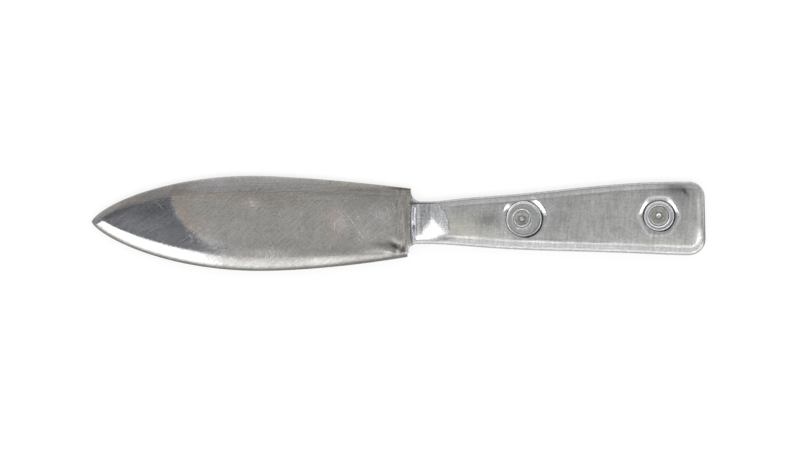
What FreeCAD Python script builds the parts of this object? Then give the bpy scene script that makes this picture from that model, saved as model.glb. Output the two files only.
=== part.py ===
"""Fish knife: a leaf blade on a full tang, held between two pressed aluminium scales by two tubular rivets.

Millimetres. The tip points along -X, the butt along +X, the back of the blade is at +Y and +Z is up.
The knife lies on the flat face of its back scale, at Z = 0, under the middle of its overall length and width.
Every piece is drawn from the middle of the heel, where the blade ends and the neck begins.
"""

import FreeCAD
import Part

import math
import os

import Sketcher
from FreeCAD import Vector

# Each size has its name, its value in millimetres and what it is.
SIZES = [
    ("blade_length", "103.5", "tip to the middle of the heel"),
    ("handle_length", "96.5", "middle of the heel to the butt"),
    ("tang", "2.0", "thickness of the tang"),
    ("leaf", "1.6", "thickness of the blade's flat field"),
    ("rim", "0.5", "thickness of the blade at its edges"),
    ("back_reach", "15.5", "widest reach of the blade's back from the centre line"),
    ("belly_reach", "15.5", "widest reach of the blade's belly from the centre line"),
    ("back_widest", "50.5", "widest place of the back, before the heel"),
    ("belly_widest", "48.5", "widest place of the belly, before the heel"),
    ("heel_back", "11.35", "corner of the heel on the back"),
    ("heel_belly", "10.95", "corner of the heel on the belly"),
    ("heel_lean", "0.57", "how far each corner of the heel leans out of square"),
    ("tip_rise", "0.45", "height of the tip above the centre line"),
    ("field_rise", "0.95", "height of the field's point above the tip"),
    ("back_bevel", "4.7", "widest bevel along the back"),
    ("belly_bevel", "5.2", "widest bevel along the belly"),
    ("heel_bevel", "1.6", "bevel left at the heel"),
    ("tip_bevel", "3.5", "ridge between the tip and the field's point"),
    ("neck_place", "6.5", "narrowest place of the neck, behind the heel"),
    ("neck_back", "7.15", "reach of the neck towards the back"),
    ("neck_belly", "6.75", "reach of the neck towards the belly"),
    ("throat_back", "7.9", "reach of the grip towards the back where its hollow begins"),
    ("throat_belly", "7.15", "reach of the grip towards the belly where its hollow begins"),
    ("fore_back", "9.1", "reach of the fore grip towards the back"),
    ("fore_belly", "8.25", "reach of the fore grip towards the belly"),
    ("mid_back", "11.65", "reach of the middle grip towards the back"),
    ("mid_belly", "9.2", "reach of the middle grip towards the belly"),
    ("swell_back", "13.45", "reach of the rear grip towards the back"),
    ("swell_belly", "10.05", "reach of the rear grip towards the belly"),
    ("butt_back", "13.6", "reach of the butt towards the back"),
    ("butt_belly", "10.4", "reach of the butt towards the belly"),
    ("butt_corner_back", "5.0", "radius of the butt's corner on the back"),
    ("butt_corner_belly", "5.5", "radius of the butt's corner on the belly"),
    ("butt_lean", "1.6", "degrees that the butt leans out of square"),
    ("flare_back", "3.4", "radius from the heel into the neck on the back"),
    ("flare_belly", "3.0", "radius from the heel into the neck on the belly"),
    ("tang_round", "0.75", "rounding of the tang's edges"),
    ("scale_height", "2.2", "height of each pressed scale above the tang"),
    ("sheet", "0.8", "wall of the pressed scales"),
    ("setback", "1.1", "tang left showing round each scale"),
    ("shoulder", "1.7", "outside radius of the scales' shoulders"),
    ("nose_place", "2.3", "nose of the scales, behind the heel"),
    ("nose_height", "0.6", "height of the nose above the tang"),
    ("scoop_start", "4.8", "start of the front neck's scoop, behind the heel"),
    ("scoop_end", "13.3", "end of the front neck's scoop, behind the heel"),
    ("back_scoop_end", "6.0", "end of the back neck's short scoop, behind the heel"),
    ("packing_gap", "0.05", "gap between the packing and the scale round it"),
    ("fore_rivet_place", "37.15", "fore rivet, behind the heel"),
    ("fore_rivet_rise", "1.5", "fore rivet above the centre line"),
    ("fore_head", "11.8", "diameter of the fore rivet's heads"),
    ("fore_bore", "5.7", "bore of the fore rivet's tube"),
    ("fore_shift", "0.65", "fore tube out of the middle of its head, towards the heel"),
    ("rear_rivet_place", "15.5", "rear rivet, before the butt"),
    ("rear_rivet_rise", "2.45", "rear rivet above the centre line"),
    ("rear_head", "10.0", "diameter of the rear rivet's heads"),
    ("rear_bore", "6.6", "bore of the rear rivet's tube"),
    ("rear_shift", "0.1", "rear tube out of the middle of its head, towards the heel"),
    ("tube_wall", "0.8", "wall of the rivets' tubes"),
    ("seat_gap", "0.4", "gap round each rivet's head in its seat"),
    ("lip_width", "0.75", "width of the pressed lip round the fore seat"),
    ("lip_depth", "0.25", "depth of the lip round the fore seat and of the dish round the rear one"),
    ("dish_corner", "7.25", "corners of the six-sided dish round the rear seat, from its middle"),
    ("dish_floor_corner", "6.3", "corners of the dish's floor, from its middle"),
    ("head_recess", "0.1", "heads below the face of the scale"),
    ("head_chamfer", "0.4", "chamfer round the heads"),
    ("fit_gap", "0.1", "gap all round a pin in its tube and a tube in its hole"),
    ("nib_width", "1.4", "diameter of the nib on each pin"),
    ("nib_height", "0.15", "height of the nib on each pin"),
    ("solder_start", "0.4", "front of the solder, behind the heel"),
    ("solder_crown", "0.2", "height of the solder above the nose"),
]

# The blade's edges follow these powers from its widest place: a round sweep to the tip, a long one to the heel.
# The flat field between the bevels sweeps a little more sharply to its point.
TIP_POWER = 2.0
TIP_ROUND = {"back": 0.7, "belly": 0.74}
FIELD_ROUND = {"back": 0.06, "belly": 0.12}
RUN_POWER = {"back": 1.48, "belly": 1.75}
TIP_STEP_DEGREES = 15
HEEL_STEPS = 3

# Where the bevel breaks, as shares of its width and of its drop, so that it rolls over softly.
BEVEL_BREAK_WIDTH = 0.45
BEVEL_BREAK_DROP = 0.35

# How many flats make a rounding.
TANG_STEPS = 2
SHOULDER_STEPS = 3

# Fore, middle and rear places where the grip's width is given, as shares of the handle's length.
GRIP_PLACES = (0.307, 0.576, 0.829)

# How far into the blade the thicker tang reaches, so that both are one plate.
TANG_ROOT = 2.0

# Corners of the dish pressed round the rear seat.
DISH_CORNERS = 6

# Edges whose heights differ by less than this lie in one plane.
SAME_HEIGHT = 1e-4

HEEL_MIDDLE_X = "(Sizes.blade_length - Sizes.handle_length) / 2"
HEEL_MIDDLE_Y = "(Sizes.belly_reach - Sizes.back_reach) / 2"
TANG_BOTTOM = "Sizes.scale_height"
TANG_TOP = "Sizes.scale_height + Sizes.tang"
FRONT_FACE = "2 * Sizes.scale_height + Sizes.tang"

doc = FreeCAD.newDocument("FishKnife")
sheet = doc.addObject("Spreadsheet::Sheet", "Sizes")


def fill_sheet():
    """Write every driving size into the sheet under its own name."""
    for row, (name, value, meaning) in enumerate(SIZES, start=1):
        sheet.set(f"A{row}", name)
        sheet.set(f"B{row}", value)
        sheet.set(f"C{row}", meaning)
        sheet.setAlias(f"B{row}", name)
    doc.recompute()


def size(name):
    """Return a size from the sheet."""
    return float(sheet.get(name))


def worked_out(expression):
    """Return the value of an expression in the sheet's sizes."""
    return float(sheet.evalExpression(expression.replace("Sizes.", "")))


def new_body(label):
    """Start a sub-part, drawn from the heel and placed so that the knife is centred on the origin."""
    body = doc.addObject("PartDesign::Body", label)
    body.Label = label
    body.setExpression("Placement.Base.x", HEEL_MIDDLE_X)
    body.setExpression("Placement.Base.y", HEEL_MIDDLE_Y)
    return body


def new_sketch(body, name, geometry, height="0", plane="XY_Plane"):
    """Draw closed outlines on one of the body's own planes, lifted by an expression."""
    sketch = body.newObject("Sketcher::SketchObject", name)
    origin_plane = [item for item in body.Origin.OriginFeatures if item.Role == plane][0]
    sketch.AttachmentSupport = [(origin_plane, "")]
    sketch.MapMode = "FlatFace"
    sketch.setExpression("AttachmentOffset.Base.z", height)
    if geometry:
        sketch.addGeometry(geometry)
    return sketch


def add_circle(sketch, along, across, diameter):
    """Draw a circle whose centre and diameter are expressions."""
    centre = Vector(worked_out(along), worked_out(across), 0)
    item = sketch.addGeometry(Part.Circle(centre, Vector(0, 0, 1), worked_out(diameter) / 2))
    for kind, points, value in (
        ("DistanceX", (-1, 1, item, 3), along),
        ("DistanceY", (-1, 1, item, 3), across),
        ("Diameter", (item,), diameter),
    ):
        rule = sketch.addConstraint(Sketcher.Constraint(kind, *points, worked_out(value)))
        sketch.setExpression(f"Constraints[{rule}]", value)


def pad(body, name, sketch, length, downwards=False, both_ways=False):
    """Raise a sketch into a solid."""
    feature = body.newObject("PartDesign::Pad", name)
    feature.Profile = sketch
    feature.setExpression("Length", length)
    feature.Reversed = downwards
    if both_ways:
        feature.SideType = "Symmetric"
    doc.recompute()


def stack(body, name, outline, levels):
    """Join outlines by straight walls; each level is how far its outline is moved in, and its height."""
    sections = []
    for number, (inset, height) in enumerate(levels):
        sections.append(new_sketch(body, f"{name}_section_{number}", outline(inset), height))
    doc.recompute()
    feature = body.newObject("PartDesign::AdditiveLoft", name)
    feature.Profile = sections[0]
    feature.Sections = sections[1:]
    feature.Ruled = True
    doc.recompute()


def quarter_round(radius, steps):
    """Return a rounding in steps, from a face to its side: how far in, and how far below the face."""
    levels = []
    for step in range(steps + 1):
        angle = math.radians(90 * step / steps)
        levels.append((size(radius) * (1 - math.sin(angle)), f"Sizes.{radius} * {1 - math.cos(angle):.6f}"))
    return levels


def pocket(body, name, sketch, length, upwards=False, both_ways=False):
    """Cut a sketch out of a solid, and make sure that it took something away."""
    before = body.Shape.Volume
    feature = body.newObject("PartDesign::Pocket", name)
    feature.Profile = sketch
    feature.setExpression("Length", length)
    feature.Reversed = upwards
    if both_ways:
        feature.SideType = "Symmetric"
    doc.recompute()
    check_cut(body, name, before)


def check_cut(body, name, before):
    """Make sure that a cut left less than the volume before it."""
    if body.Shape.Volume >= before:
        raise RuntimeError(f"{name} cut nothing")


def closed_outline(corners):
    """Return the straight sides that join corners in a ring."""
    return [Part.LineSegment(first, last) for first, last in zip(corners, corners[1:] + corners[:1])]


def chamfer_rim(body, name, height):
    """Chamfer a head round the edge of its face, which lies at a height."""
    base = body.Tip
    rim = []
    for number, edge in enumerate(base.Shape.Edges, start=1):
        box = edge.BoundBox
        if abs(box.ZMin - height) < SAME_HEIGHT and abs(box.ZMax - height) < SAME_HEIGHT:
            rim.append(f"Edge{number}")
    feature = body.newObject("PartDesign::Chamfer", name)
    feature.Base = (base, rim)
    feature.setExpression("Size", "Sizes.head_chamfer")
    doc.recompute()


def spline(points, start=None, end=None):
    """Return a smooth curve through points, with directions at its ends where they are given."""
    curve = Part.BSplineCurve()
    if start is None:
        curve.interpolate(Points=points)
    else:
        curve.interpolate(Points=points, InitialTangent=start, FinalTangent=end)
    return curve


def arc(centre, radius, first, last):
    """Return an arc between two angles in degrees."""
    circle = Part.Circle(Vector(*centre, 0), Vector(0, 0, 1), radius)
    return Part.ArcOfCircle(circle, math.radians(first), math.radians(last))


def blade_edge(side, bevel_share):
    """Return the points of one edge of the blade from its tip to the heel, moved in by a share of the bevel."""
    name = "back" if side > 0 else "belly"
    reach = size(f"{name}_reach") - bevel_share * size(f"{name}_bevel")
    heel = size(f"heel_{name}") - bevel_share * size("heel_bevel")
    widest = -size(f"{name}_widest")
    tip = -size("blade_length") + bevel_share * size("tip_bevel")
    rise = size("tip_rise") + bevel_share * size("field_rise")
    power = TIP_ROUND[name] + bevel_share * FIELD_ROUND[name]
    heel_x = side * size("heel_lean") * heel / size(f"heel_{name}")
    points = []
    for degrees in range(90, -1, -TIP_STEP_DEGREES):
        share = math.sin(math.radians(degrees))
        height = (side * reach - rise) * max(0.0, 1 - share**TIP_POWER) ** power
        points.append(Vector(widest + (tip - widest) * share, rise + height, 0))
    for step in range(1, HEEL_STEPS + 1):
        share = step / HEEL_STEPS
        height = reach - (reach - heel) * share ** RUN_POWER[name]
        points.append(Vector(widest + (heel_x - widest) * share, side * height, 0))
    return points


def blade_outline(bevel_share):
    """Return the blade's outline, moved in from its edges by a share of the bevel."""
    back = blade_edge(1, bevel_share)
    belly = blade_edge(-1, bevel_share)
    return [spline(back), Part.LineSegment(back[-1], belly[-1]), spline(belly[::-1])]


def grip_places():
    """Return how far behind the heel each width of the grip is given: throat, fore, middle and swell."""
    throat = size("scoop_end") + 2 * size("sheet")
    return [throat] + [share * size("handle_length") for share in GRIP_PLACES]


def grip_edge(side, inset, from_neck):
    """Return one long edge of the grip, moved in by an inset, from the neck or the throat to the butt's corner."""
    name = "back" if side > 0 else "belly"
    corner = butt_corner(side)[0]
    places = [size("neck_place")] + grip_places() + [corner.x]
    reaches = [size(f"{part}_{name}") for part in ("neck", "throat", "fore", "mid", "swell", "butt")]
    points = [Vector(x, side * reach, 0) for x, reach in zip(places, reaches)]
    moved = [points[0] - Vector(0, side * inset, 0)]
    for before, point, after in zip(points, points[1:], points[2:]):
        along = (after - before).normalize()
        moved.append(point + Vector(along.y, -along.x, 0) * side * inset)
    moved.append(points[-1] - Vector(0, side * inset, 0))
    if from_neck:
        return spline(moved, Vector(1, 0, 0), Vector(1, 0, 0)), moved[0]
    along = (moved[2] - moved[0]).normalize()
    return spline(moved[1:], along, Vector(1, 0, 0)), moved[1]


def butt_corner(side):
    """Return the centre and the radius of one corner of the butt; the belly's corner is the furthest back."""
    belly_radius = size("butt_corner_belly")
    belly = Vector(size("handle_length") - belly_radius, belly_radius - size("butt_belly"), 0)
    if side < 0:
        return belly, belly_radius
    radius = size("butt_corner_back")
    height = size("butt_back") - radius
    lean = math.radians(size("butt_lean"))
    forward = (belly_radius - radius - (height - belly.y) * math.sin(lean)) / math.cos(lean)
    return Vector(belly.x + forward, height, 0), radius


def grip_end(inset):
    """Return the rounded butt, moved in by an inset, from the back's edge to the belly's."""
    lean = size("butt_lean")
    back_centre, back_radius = butt_corner(1)
    belly_centre, belly_radius = butt_corner(-1)
    back_arc = arc((back_centre.x, back_centre.y), back_radius - inset, lean, 90)
    belly_arc = arc((belly_centre.x, belly_centre.y), belly_radius - inset, -90, lean)
    return [back_arc, Part.LineSegment(back_arc.StartPoint, belly_arc.EndPoint), belly_arc]


def tang_outline(inset):
    """Return the tang's outline moved in by an inset, with its flares into the heel and its root in the blade."""
    outline = grip_end(inset)
    roots = []
    for side, name in ((1, "back"), (-1, "belly")):
        edge, neck = grip_edge(side, inset, True)
        radius = size(f"flare_{name}")
        height = size(f"neck_{name}") + radius
        heel_x = side * size("heel_lean") * height / size(f"heel_{name}")
        angles = (180, 270) if side > 0 else (90, 180)
        flare = arc((heel_x + radius, side * height), radius + inset, *angles)
        ends = (flare.StartPoint, flare.EndPoint)
        top, bottom = ends if side > 0 else ends[::-1]
        root = Vector(-TANG_ROOT, neck.y, 0)
        outline += [edge, Part.LineSegment(bottom, neck), flare, Part.LineSegment(top, root)]
        roots.append(root)
    return outline + [Part.LineSegment(*roots)]


def scale_outline(inset):
    """Return a scale's outline moved in from its foot by an inset, from its square nose to the butt."""
    setback = size("setback") + inset
    outline = grip_end(setback)
    noses = []
    for side in (1, -1):
        edge, neck = grip_edge(side, setback, True)
        nose = Vector(size("nose_place"), neck.y, 0)
        outline += [edge, Part.LineSegment(nose, neck)]
        noses.append(nose)
    return outline + [Part.LineSegment(*noses)]


def hollow_outline(inset):
    """Return the outline of a scale's hollow, from the throat to the butt."""
    outline = grip_end(inset)
    throats = []
    for side in (1, -1):
        edge, throat = grip_edge(side, inset, False)
        outline.append(edge)
        throats.append(throat)
    return outline + [Part.LineSegment(*throats)]


def flat_face(outline):
    """Return the flat face inside a closed outline."""
    return Part.Face(Part.Wire(Part.sortEdges([item.toShape() for item in outline])[0]))


def as_geometry(edge):
    """Return a flat edge as sketch geometry."""
    first, last = edge.ParameterRange
    if isinstance(edge.Curve, Part.Line):
        return Part.LineSegment(edge.valueAt(first), edge.valueAt(last))
    if isinstance(edge.Curve, Part.Circle):
        return Part.Circle(edge.Curve) if edge.isClosed() else Part.ArcOfCircle(edge.Curve, first, last)
    curve = edge.Curve.copy()
    curve.segment(first, last)
    return curve


def hollow_region(inset, clearance):
    """Return the outline of a hollow with the pressed seats left standing in it."""
    region = flat_face(hollow_outline(inset))
    for rivet in ("fore", "rear"):
        head, _, rise = rivet_axes(rivet)
        centre = Vector(worked_out(head), worked_out(rise), 0)
        radius = size(f"{rivet}_head") / 2 + size("seat_gap") + size("sheet") + clearance
        region = region.cut(flat_face([Part.Circle(centre, Vector(0, 0, 1), radius)]))
    return [as_geometry(edge) for edge in region.Edges]


def rivet_axes(name):
    """Return the expressions for a rivet's head centre and its tube's axis along the knife, and its rise."""
    if name == "fore":
        head = "Sizes.fore_rivet_place"
    else:
        head = "Sizes.handle_length - Sizes.rear_rivet_place"
    return head, f"{head} - Sizes.{name}_shift", f"Sizes.{name}_rivet_rise"


def build_blade():
    """Build the full tang with round edges, grow the bevelled blade onto its root and pierce the tang."""
    body = new_body("blade")
    rounding = quarter_round("tang_round", TANG_STEPS)
    low = [(inset, f"{TANG_BOTTOM} + {drop}") for inset, drop in rounding]
    high = [(inset, f"{TANG_TOP} - {drop}") for inset, drop in rounding[::-1]]
    stack(body, "tang", tang_outline, low + high)

    middle = "Sizes.scale_height + Sizes.tang / 2"
    edge_drop = "(Sizes.leaf - Sizes.rim) / 2"
    bevel = [(1.0, "0"), (BEVEL_BREAK_WIDTH, f"{edge_drop} * {BEVEL_BREAK_DROP}"), (0.0, edge_drop)]
    low = [(share, f"{middle} - Sizes.leaf / 2 + {drop}") for share, drop in bevel]
    high = [(share, f"{middle} + Sizes.leaf / 2 - {drop}") for share, drop in bevel[::-1]]
    stack(body, "leaf", blade_outline, low + high)

    holes = new_sketch(body, "tang_holes_outline", [], TANG_BOTTOM)
    for name in ("fore", "rear"):
        _, axis, rise = rivet_axes(name)
        add_circle(holes, axis, rise, f"Sizes.{name}_bore + 2 * Sizes.tube_wall + 2 * Sizes.fit_gap")
    pocket(body, "tang_holes", holes, "Sizes.tang", upwards=True)


def build_scale(name, front):
    """Press one scale: shoulders, scooped neck, hollow, and a flat-bottomed seat for each rivet head."""
    body = new_body(f"{name}_scale")
    inner = TANG_TOP if front else TANG_BOTTOM
    outer = FRONT_FACE if front else "0"
    face = worked_out(outer)
    sign = 1 if front else -1
    towards_tang = "-" if front else "+"
    levels = [(0, inner)]
    for inset, drop in quarter_round("shoulder", SHOULDER_STEPS)[::-1]:
        levels.append((inset, f"{outer} {towards_tang} {drop}"))
    stack(body, f"{name}_slab", scale_outline, levels)
    scoop_end = size("scoop_end") if front else size("back_scoop_end")
    scoop_start = size("scoop_start") if front else size("nose_place")
    scoop = new_sketch(body, f"{name}_scoop_outline", scoop_profile(face, scoop_start, scoop_end, sign), "0",
                       "XZ_Plane")
    pocket(body, f"{name}_scoop", scoop, "4 * (Sizes.neck_back + Sizes.neck_belly)", both_ways=True)

    hollow_sides = hollow_region(size("setback") + size("sheet"), 0)
    hollow = new_sketch(body, f"{name}_hollow_outline", hollow_sides, inner)
    pocket(body, f"{name}_hollow", hollow, "Sizes.scale_height - Sizes.sheet", upwards=front)

    seats = new_sketch(body, f"{name}_seats_outline", [], outer)
    holes = new_sketch(body, f"{name}_holes_outline", [], inner)
    for rivet in ("fore", "rear"):
        head, axis, rise = rivet_axes(rivet)
        add_circle(seats, head, rise, f"Sizes.{rivet}_head + 2 * Sizes.seat_gap")
        add_circle(holes, axis, rise, f"Sizes.{rivet}_bore + 2 * Sizes.tube_wall + 2 * Sizes.fit_gap")
    pocket(body, f"{name}_seats", seats, "Sizes.scale_height - Sizes.sheet", upwards=not front)
    pocket(body, f"{name}_holes", holes, "Sizes.sheet", upwards=front)
    press_lip(body, f"{name}_fore_lip", face, sign)
    press_dish(body, f"{name}_rear_dish", outer, towards_tang)


def press_lip(body, name, face, sign):
    """Sink a shallow cone round the fore seat, where the press drew the sheet down."""
    head, _, rise = rivet_axes("fore")
    radius = size("fore_head") / 2 + size("seat_gap")
    floor = face - sign * size("lip_depth")
    corners = [
        Vector(radius - size("seat_gap"), face, 0),
        Vector(radius - size("seat_gap"), floor, 0),
        Vector(radius, floor, 0),
        Vector(radius + size("lip_width"), face, 0),
    ]
    sketch = new_sketch(body, f"{name}_profile", closed_outline(corners), f"-({rise})", "XZ_Plane")
    sketch.setExpression("AttachmentOffset.Base.x", head)
    doc.recompute()
    before = body.Shape.Volume
    groove = body.newObject("PartDesign::Groove", name)
    groove.Profile = sketch
    groove.ReferenceAxis = (sketch, ["V_Axis"])
    groove.Angle = 360
    doc.recompute()
    check_cut(body, name, before)


def press_dish(body, name, outer, towards_tang):
    """Sink a shallow dish with straight sides round the rear seat."""
    head, _, rise = rivet_axes("rear")
    centre = Vector(worked_out(head), worked_out(rise), 0)
    sections = []
    for reach, depth in (("dish_corner", "0"), ("dish_floor_corner", "Sizes.lip_depth")):
        corners = []
        for number in range(DISH_CORNERS):
            turn = 2 * math.pi * number / DISH_CORNERS
            corners.append(centre + Vector(math.cos(turn), math.sin(turn), 0) * size(reach))
        height = f"{outer} {towards_tang} {depth}"
        sections.append(new_sketch(body, f"{name}_{reach}", closed_outline(corners), height))
    doc.recompute()
    before = body.Shape.Volume
    feature = body.newObject("PartDesign::SubtractiveLoft", name)
    feature.Profile = sections[0]
    feature.Sections = sections[1:]
    feature.Ruled = True
    doc.recompute()
    check_cut(body, name, before)


def scoop_profile(face, start, end, sign):
    """Return the side view of what is cut from the neck: hollow where it falls, level from there to the heel."""
    low = face - sign * (size("scale_height") - size("nose_height"))
    rise = abs(face - low)
    radius = ((end - start) ** 2 + rise**2) / (2 * rise)
    half = math.asin((end - start) / radius) / 2
    middle = Vector(start + radius * math.sin(half), low + sign * radius * (1 - math.cos(half)), 0)
    above = face + sign * size("scale_height")
    corners = [
        Vector(start, low, 0),
        Vector(0, low, 0),
        Vector(0, above, 0),
        Vector(end, above, 0),
        Vector(end, face, 0),
    ]
    sides = [Part.LineSegment(first, last) for first, last in zip(corners, corners[1:])]
    curve = Part.Arc(corners[-1], middle, corners[0])
    return sides + [curve]


def build_packing(name, front):
    """Fill a scale's hollow with packing, clear of the seats that stand through it."""
    body = new_body(f"{name}_packing")
    inner = TANG_TOP if front else TANG_BOTTOM
    gap = size("packing_gap")
    sides = hollow_region(size("setback") + size("sheet") + gap, gap)
    outline = new_sketch(body, f"{name}_packing_outline", sides, inner)
    height = "Sizes.scale_height - Sizes.sheet - Sizes.packing_gap"
    pad(body, f"{name}_packing_slab", outline, height, downwards=not front)


def build_sleeve(name):
    """Build a rivet's front half: a wide head in its seat, and a tube through the scales and the tang."""
    body = new_body(f"{name}_rivet_sleeve")
    head, axis, rise = rivet_axes(name)
    seat = f"{TANG_TOP} + Sizes.sheet"
    head_height = "Sizes.scale_height - Sizes.sheet - Sizes.head_recess"
    disc = new_sketch(body, f"{name}_head_outline", [], seat)
    add_circle(disc, head, rise, f"Sizes.{name}_head")
    pad(body, f"{name}_head_disc", disc, head_height)
    chamfer_rim(body, f"{name}_head_edge", worked_out(f"{seat} + {head_height}"))
    tube = new_sketch(body, f"{name}_tube_outline", [], seat)
    add_circle(tube, axis, rise, f"Sizes.{name}_bore + 2 * Sizes.tube_wall")
    pad(body, f"{name}_tube", tube, "Sizes.tang + 2 * Sizes.sheet - Sizes.fit_gap", downwards=True)
    bore = new_sketch(body, f"{name}_bore_outline", [], f"{seat} + {head_height}")
    add_circle(bore, axis, rise, f"Sizes.{name}_bore")
    pocket(body, f"{name}_bore", bore, f"Sizes.tang + 2 * Sizes.sheet + {head_height}")


def build_pin(name):
    """Build a rivet's back half: a wide head, a shank that fills the tube, and the nib left on its end."""
    body = new_body(f"{name}_rivet_pin")
    head, axis, rise = rivet_axes(name)
    head_height = "Sizes.scale_height - Sizes.sheet - Sizes.head_recess"
    disc = new_sketch(body, f"{name}_back_head_outline", [], "Sizes.head_recess")
    add_circle(disc, head, rise, f"Sizes.{name}_head")
    pad(body, f"{name}_back_head", disc, head_height)
    chamfer_rim(body, f"{name}_back_head_edge", size("head_recess"))
    shank = new_sketch(body, f"{name}_shank_outline", [], "Sizes.scale_height - Sizes.sheet")
    add_circle(shank, axis, rise, f"Sizes.{name}_bore - 2 * Sizes.fit_gap")
    length = f"Sizes.tang + 2 * Sizes.sheet + {head_height} - Sizes.fit_gap"
    pad(body, f"{name}_shank", shank, length)
    nib = new_sketch(body, f"{name}_nib_outline", [], f"Sizes.scale_height - Sizes.sheet + {length}")
    add_circle(nib, axis, rise, "Sizes.nib_width")
    pad(body, f"{name}_nib", nib, "Sizes.nib_height")


def build_solder():
    """Run solder across the heel, against the nose of the front scale."""
    body = new_body("heel_solder")
    floor = worked_out(TANG_TOP)
    start = size("solder_start")
    nose = size("nose_place")
    height = size("nose_height")
    foot = Vector(start, floor, 0)
    corner = Vector(nose, floor, 0)
    top = Vector(nose, floor + height, 0)
    crown = Vector((start + nose) / 2, floor + (height + size("solder_crown")) * math.sqrt(0.75), 0)
    profile = [Part.LineSegment(foot, corner), Part.LineSegment(corner, top), Part.Arc(top, crown, foot)]
    across = "(Sizes.neck_belly - Sizes.neck_back) / 2"
    sketch = new_sketch(body, "solder_profile", profile, across, "XZ_Plane")
    length = "Sizes.neck_back + Sizes.neck_belly - 2 * Sizes.setback - 2 * Sizes.nose_height"
    pad(body, "solder_run", sketch, length, both_ways=True)


def check_and_save():
    """Stop if anything failed, and write each sub-part under its own name."""
    doc.recompute()
    for item in doc.Objects:
        if "Invalid" in item.State or "Error" in item.State:
            raise RuntimeError(f"{item.Label} failed: {item.State}")
    os.makedirs("parts", exist_ok=True)
    for body in doc.findObjects("PartDesign::Body"):
        if body.Shape.isNull() or not body.Shape.isValid() or len(body.Shape.Solids) != 1:
            raise RuntimeError(f"{body.Label} is not one sound solid")
        body.Shape.exportStep(f"parts/{body.Label}.step")
        box = body.Shape.BoundBox
        print(f"{body.Label}: {body.Shape.Volume:.1f} mm3, X {box.XMin:.2f} to {box.XMax:.2f}, "
              f"Y {box.YMin:.2f} to {box.YMax:.2f}, Z {box.ZMin:.2f} to {box.ZMax:.2f}")


fill_sheet()
build_blade()
for half, in_front in (("front", True), ("back", False)):
    build_scale(half, in_front)
    build_packing(half, in_front)
for rivet_name in ("fore", "rear"):
    build_sleeve(rivet_name)
    build_pin(rivet_name)
build_solder()
check_and_save()
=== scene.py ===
"""Fish knife: its worn leaf blade, pressed aluminium scales and turned rivets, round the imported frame.

Sizes are in millimetres. Outlines are laid out from the middle of the heel, where the blade ends and the neck
begins, and are moved by HEEL_X along the knife when a mesh is made. The tip points along -X, the back of the
blade is at +Y and +Z is up.
"""

from __future__ import annotations

import logging
import math
from collections.abc import Callable, Sequence
from dataclasses import dataclass, field
from enum import IntEnum

import bmesh
import bpy
import numpy as np
from bpy.types import Material, Mesh, Node, NodeSocket, NodeTree, Object
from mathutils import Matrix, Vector
from mathutils.geometry import delaunay_2d_cdt

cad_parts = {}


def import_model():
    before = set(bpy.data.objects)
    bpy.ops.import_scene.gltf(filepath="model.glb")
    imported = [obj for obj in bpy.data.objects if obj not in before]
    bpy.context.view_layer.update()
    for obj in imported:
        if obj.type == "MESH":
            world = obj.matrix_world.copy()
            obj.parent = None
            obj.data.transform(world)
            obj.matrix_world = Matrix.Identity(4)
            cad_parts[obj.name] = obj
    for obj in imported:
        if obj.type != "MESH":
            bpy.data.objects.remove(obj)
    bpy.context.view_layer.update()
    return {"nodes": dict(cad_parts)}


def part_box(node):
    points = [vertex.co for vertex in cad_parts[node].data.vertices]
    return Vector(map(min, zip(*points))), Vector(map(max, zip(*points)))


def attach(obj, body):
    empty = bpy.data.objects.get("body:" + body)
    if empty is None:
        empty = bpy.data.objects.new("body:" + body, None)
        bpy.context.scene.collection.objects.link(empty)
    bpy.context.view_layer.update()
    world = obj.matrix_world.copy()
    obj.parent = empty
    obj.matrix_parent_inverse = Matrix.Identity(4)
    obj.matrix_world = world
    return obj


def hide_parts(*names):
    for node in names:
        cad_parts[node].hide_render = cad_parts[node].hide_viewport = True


LOG = logging.getLogger("fish_knife")
Array = np.ndarray
MATH = "ShaderNodeMath"
VECTOR_MATH = "ShaderNodeVectorMath"


class Side(IntEnum):
    """A long side of the knife, by the sign of Y there."""

    BACK = 1
    BELLY = -1


class Face(IntEnum):
    """A face of the knife, by the sign of Z there."""

    FRONT = 1
    BEHIND = -1


MM = 0.001  # metres in a millimetre
HEEL_X = 3.5  # middle of the heel, along the knife
HEEL_LEAN = 0.57  # how far the heel's corners lie fore and aft of that middle
HEEL_REACH = {Side.BACK: 11.35, Side.BELLY: 10.95}  # from the centre line to the heel's corners
MIDDLE_Z = 3.2  # middle of the plate, above the table
TANG_TOP = 4.2  # front face of the tang
TANG_BOTTOM = 2.2  # hidden face of the tang
FORE_HEAD, FORE_TUBE = (40.65, 1.5), (40.0, 1.5)  # middles of the fore rivet, along and across the knife
REAR_HEAD, REAR_TUBE = (84.5, 2.45), (84.4, 2.45)  # those of the rear rivet


# ----------------------------------------
# Numbers and flat outlines


def smooth_step(value: Array, low: float, high: float) -> Array:
    """Return 0 below low, 1 above high and an even curve between them."""
    share = np.clip((value - low) / (high - low), 0, 1)
    return share * share * (3 - 2 * share)


def near(value: Array, middle: float | Array, half: float | Array, power: int = 2) -> Array:
    """Return 1 at a middle and an even fall to 0 beside it, with steeper sides for a high power."""
    return np.exp(-(((value - middle) / half) ** power))


def soft_min(first: Array, second: Array, blend: float) -> Array:
    """Return the lower of two heights, rounded where they meet over a blend height."""
    share = np.clip(0.5 + 0.5 * (second - first) / blend, 0, 1)
    return second * (1 - share) + first * share - blend * share * (1 - share)


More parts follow.
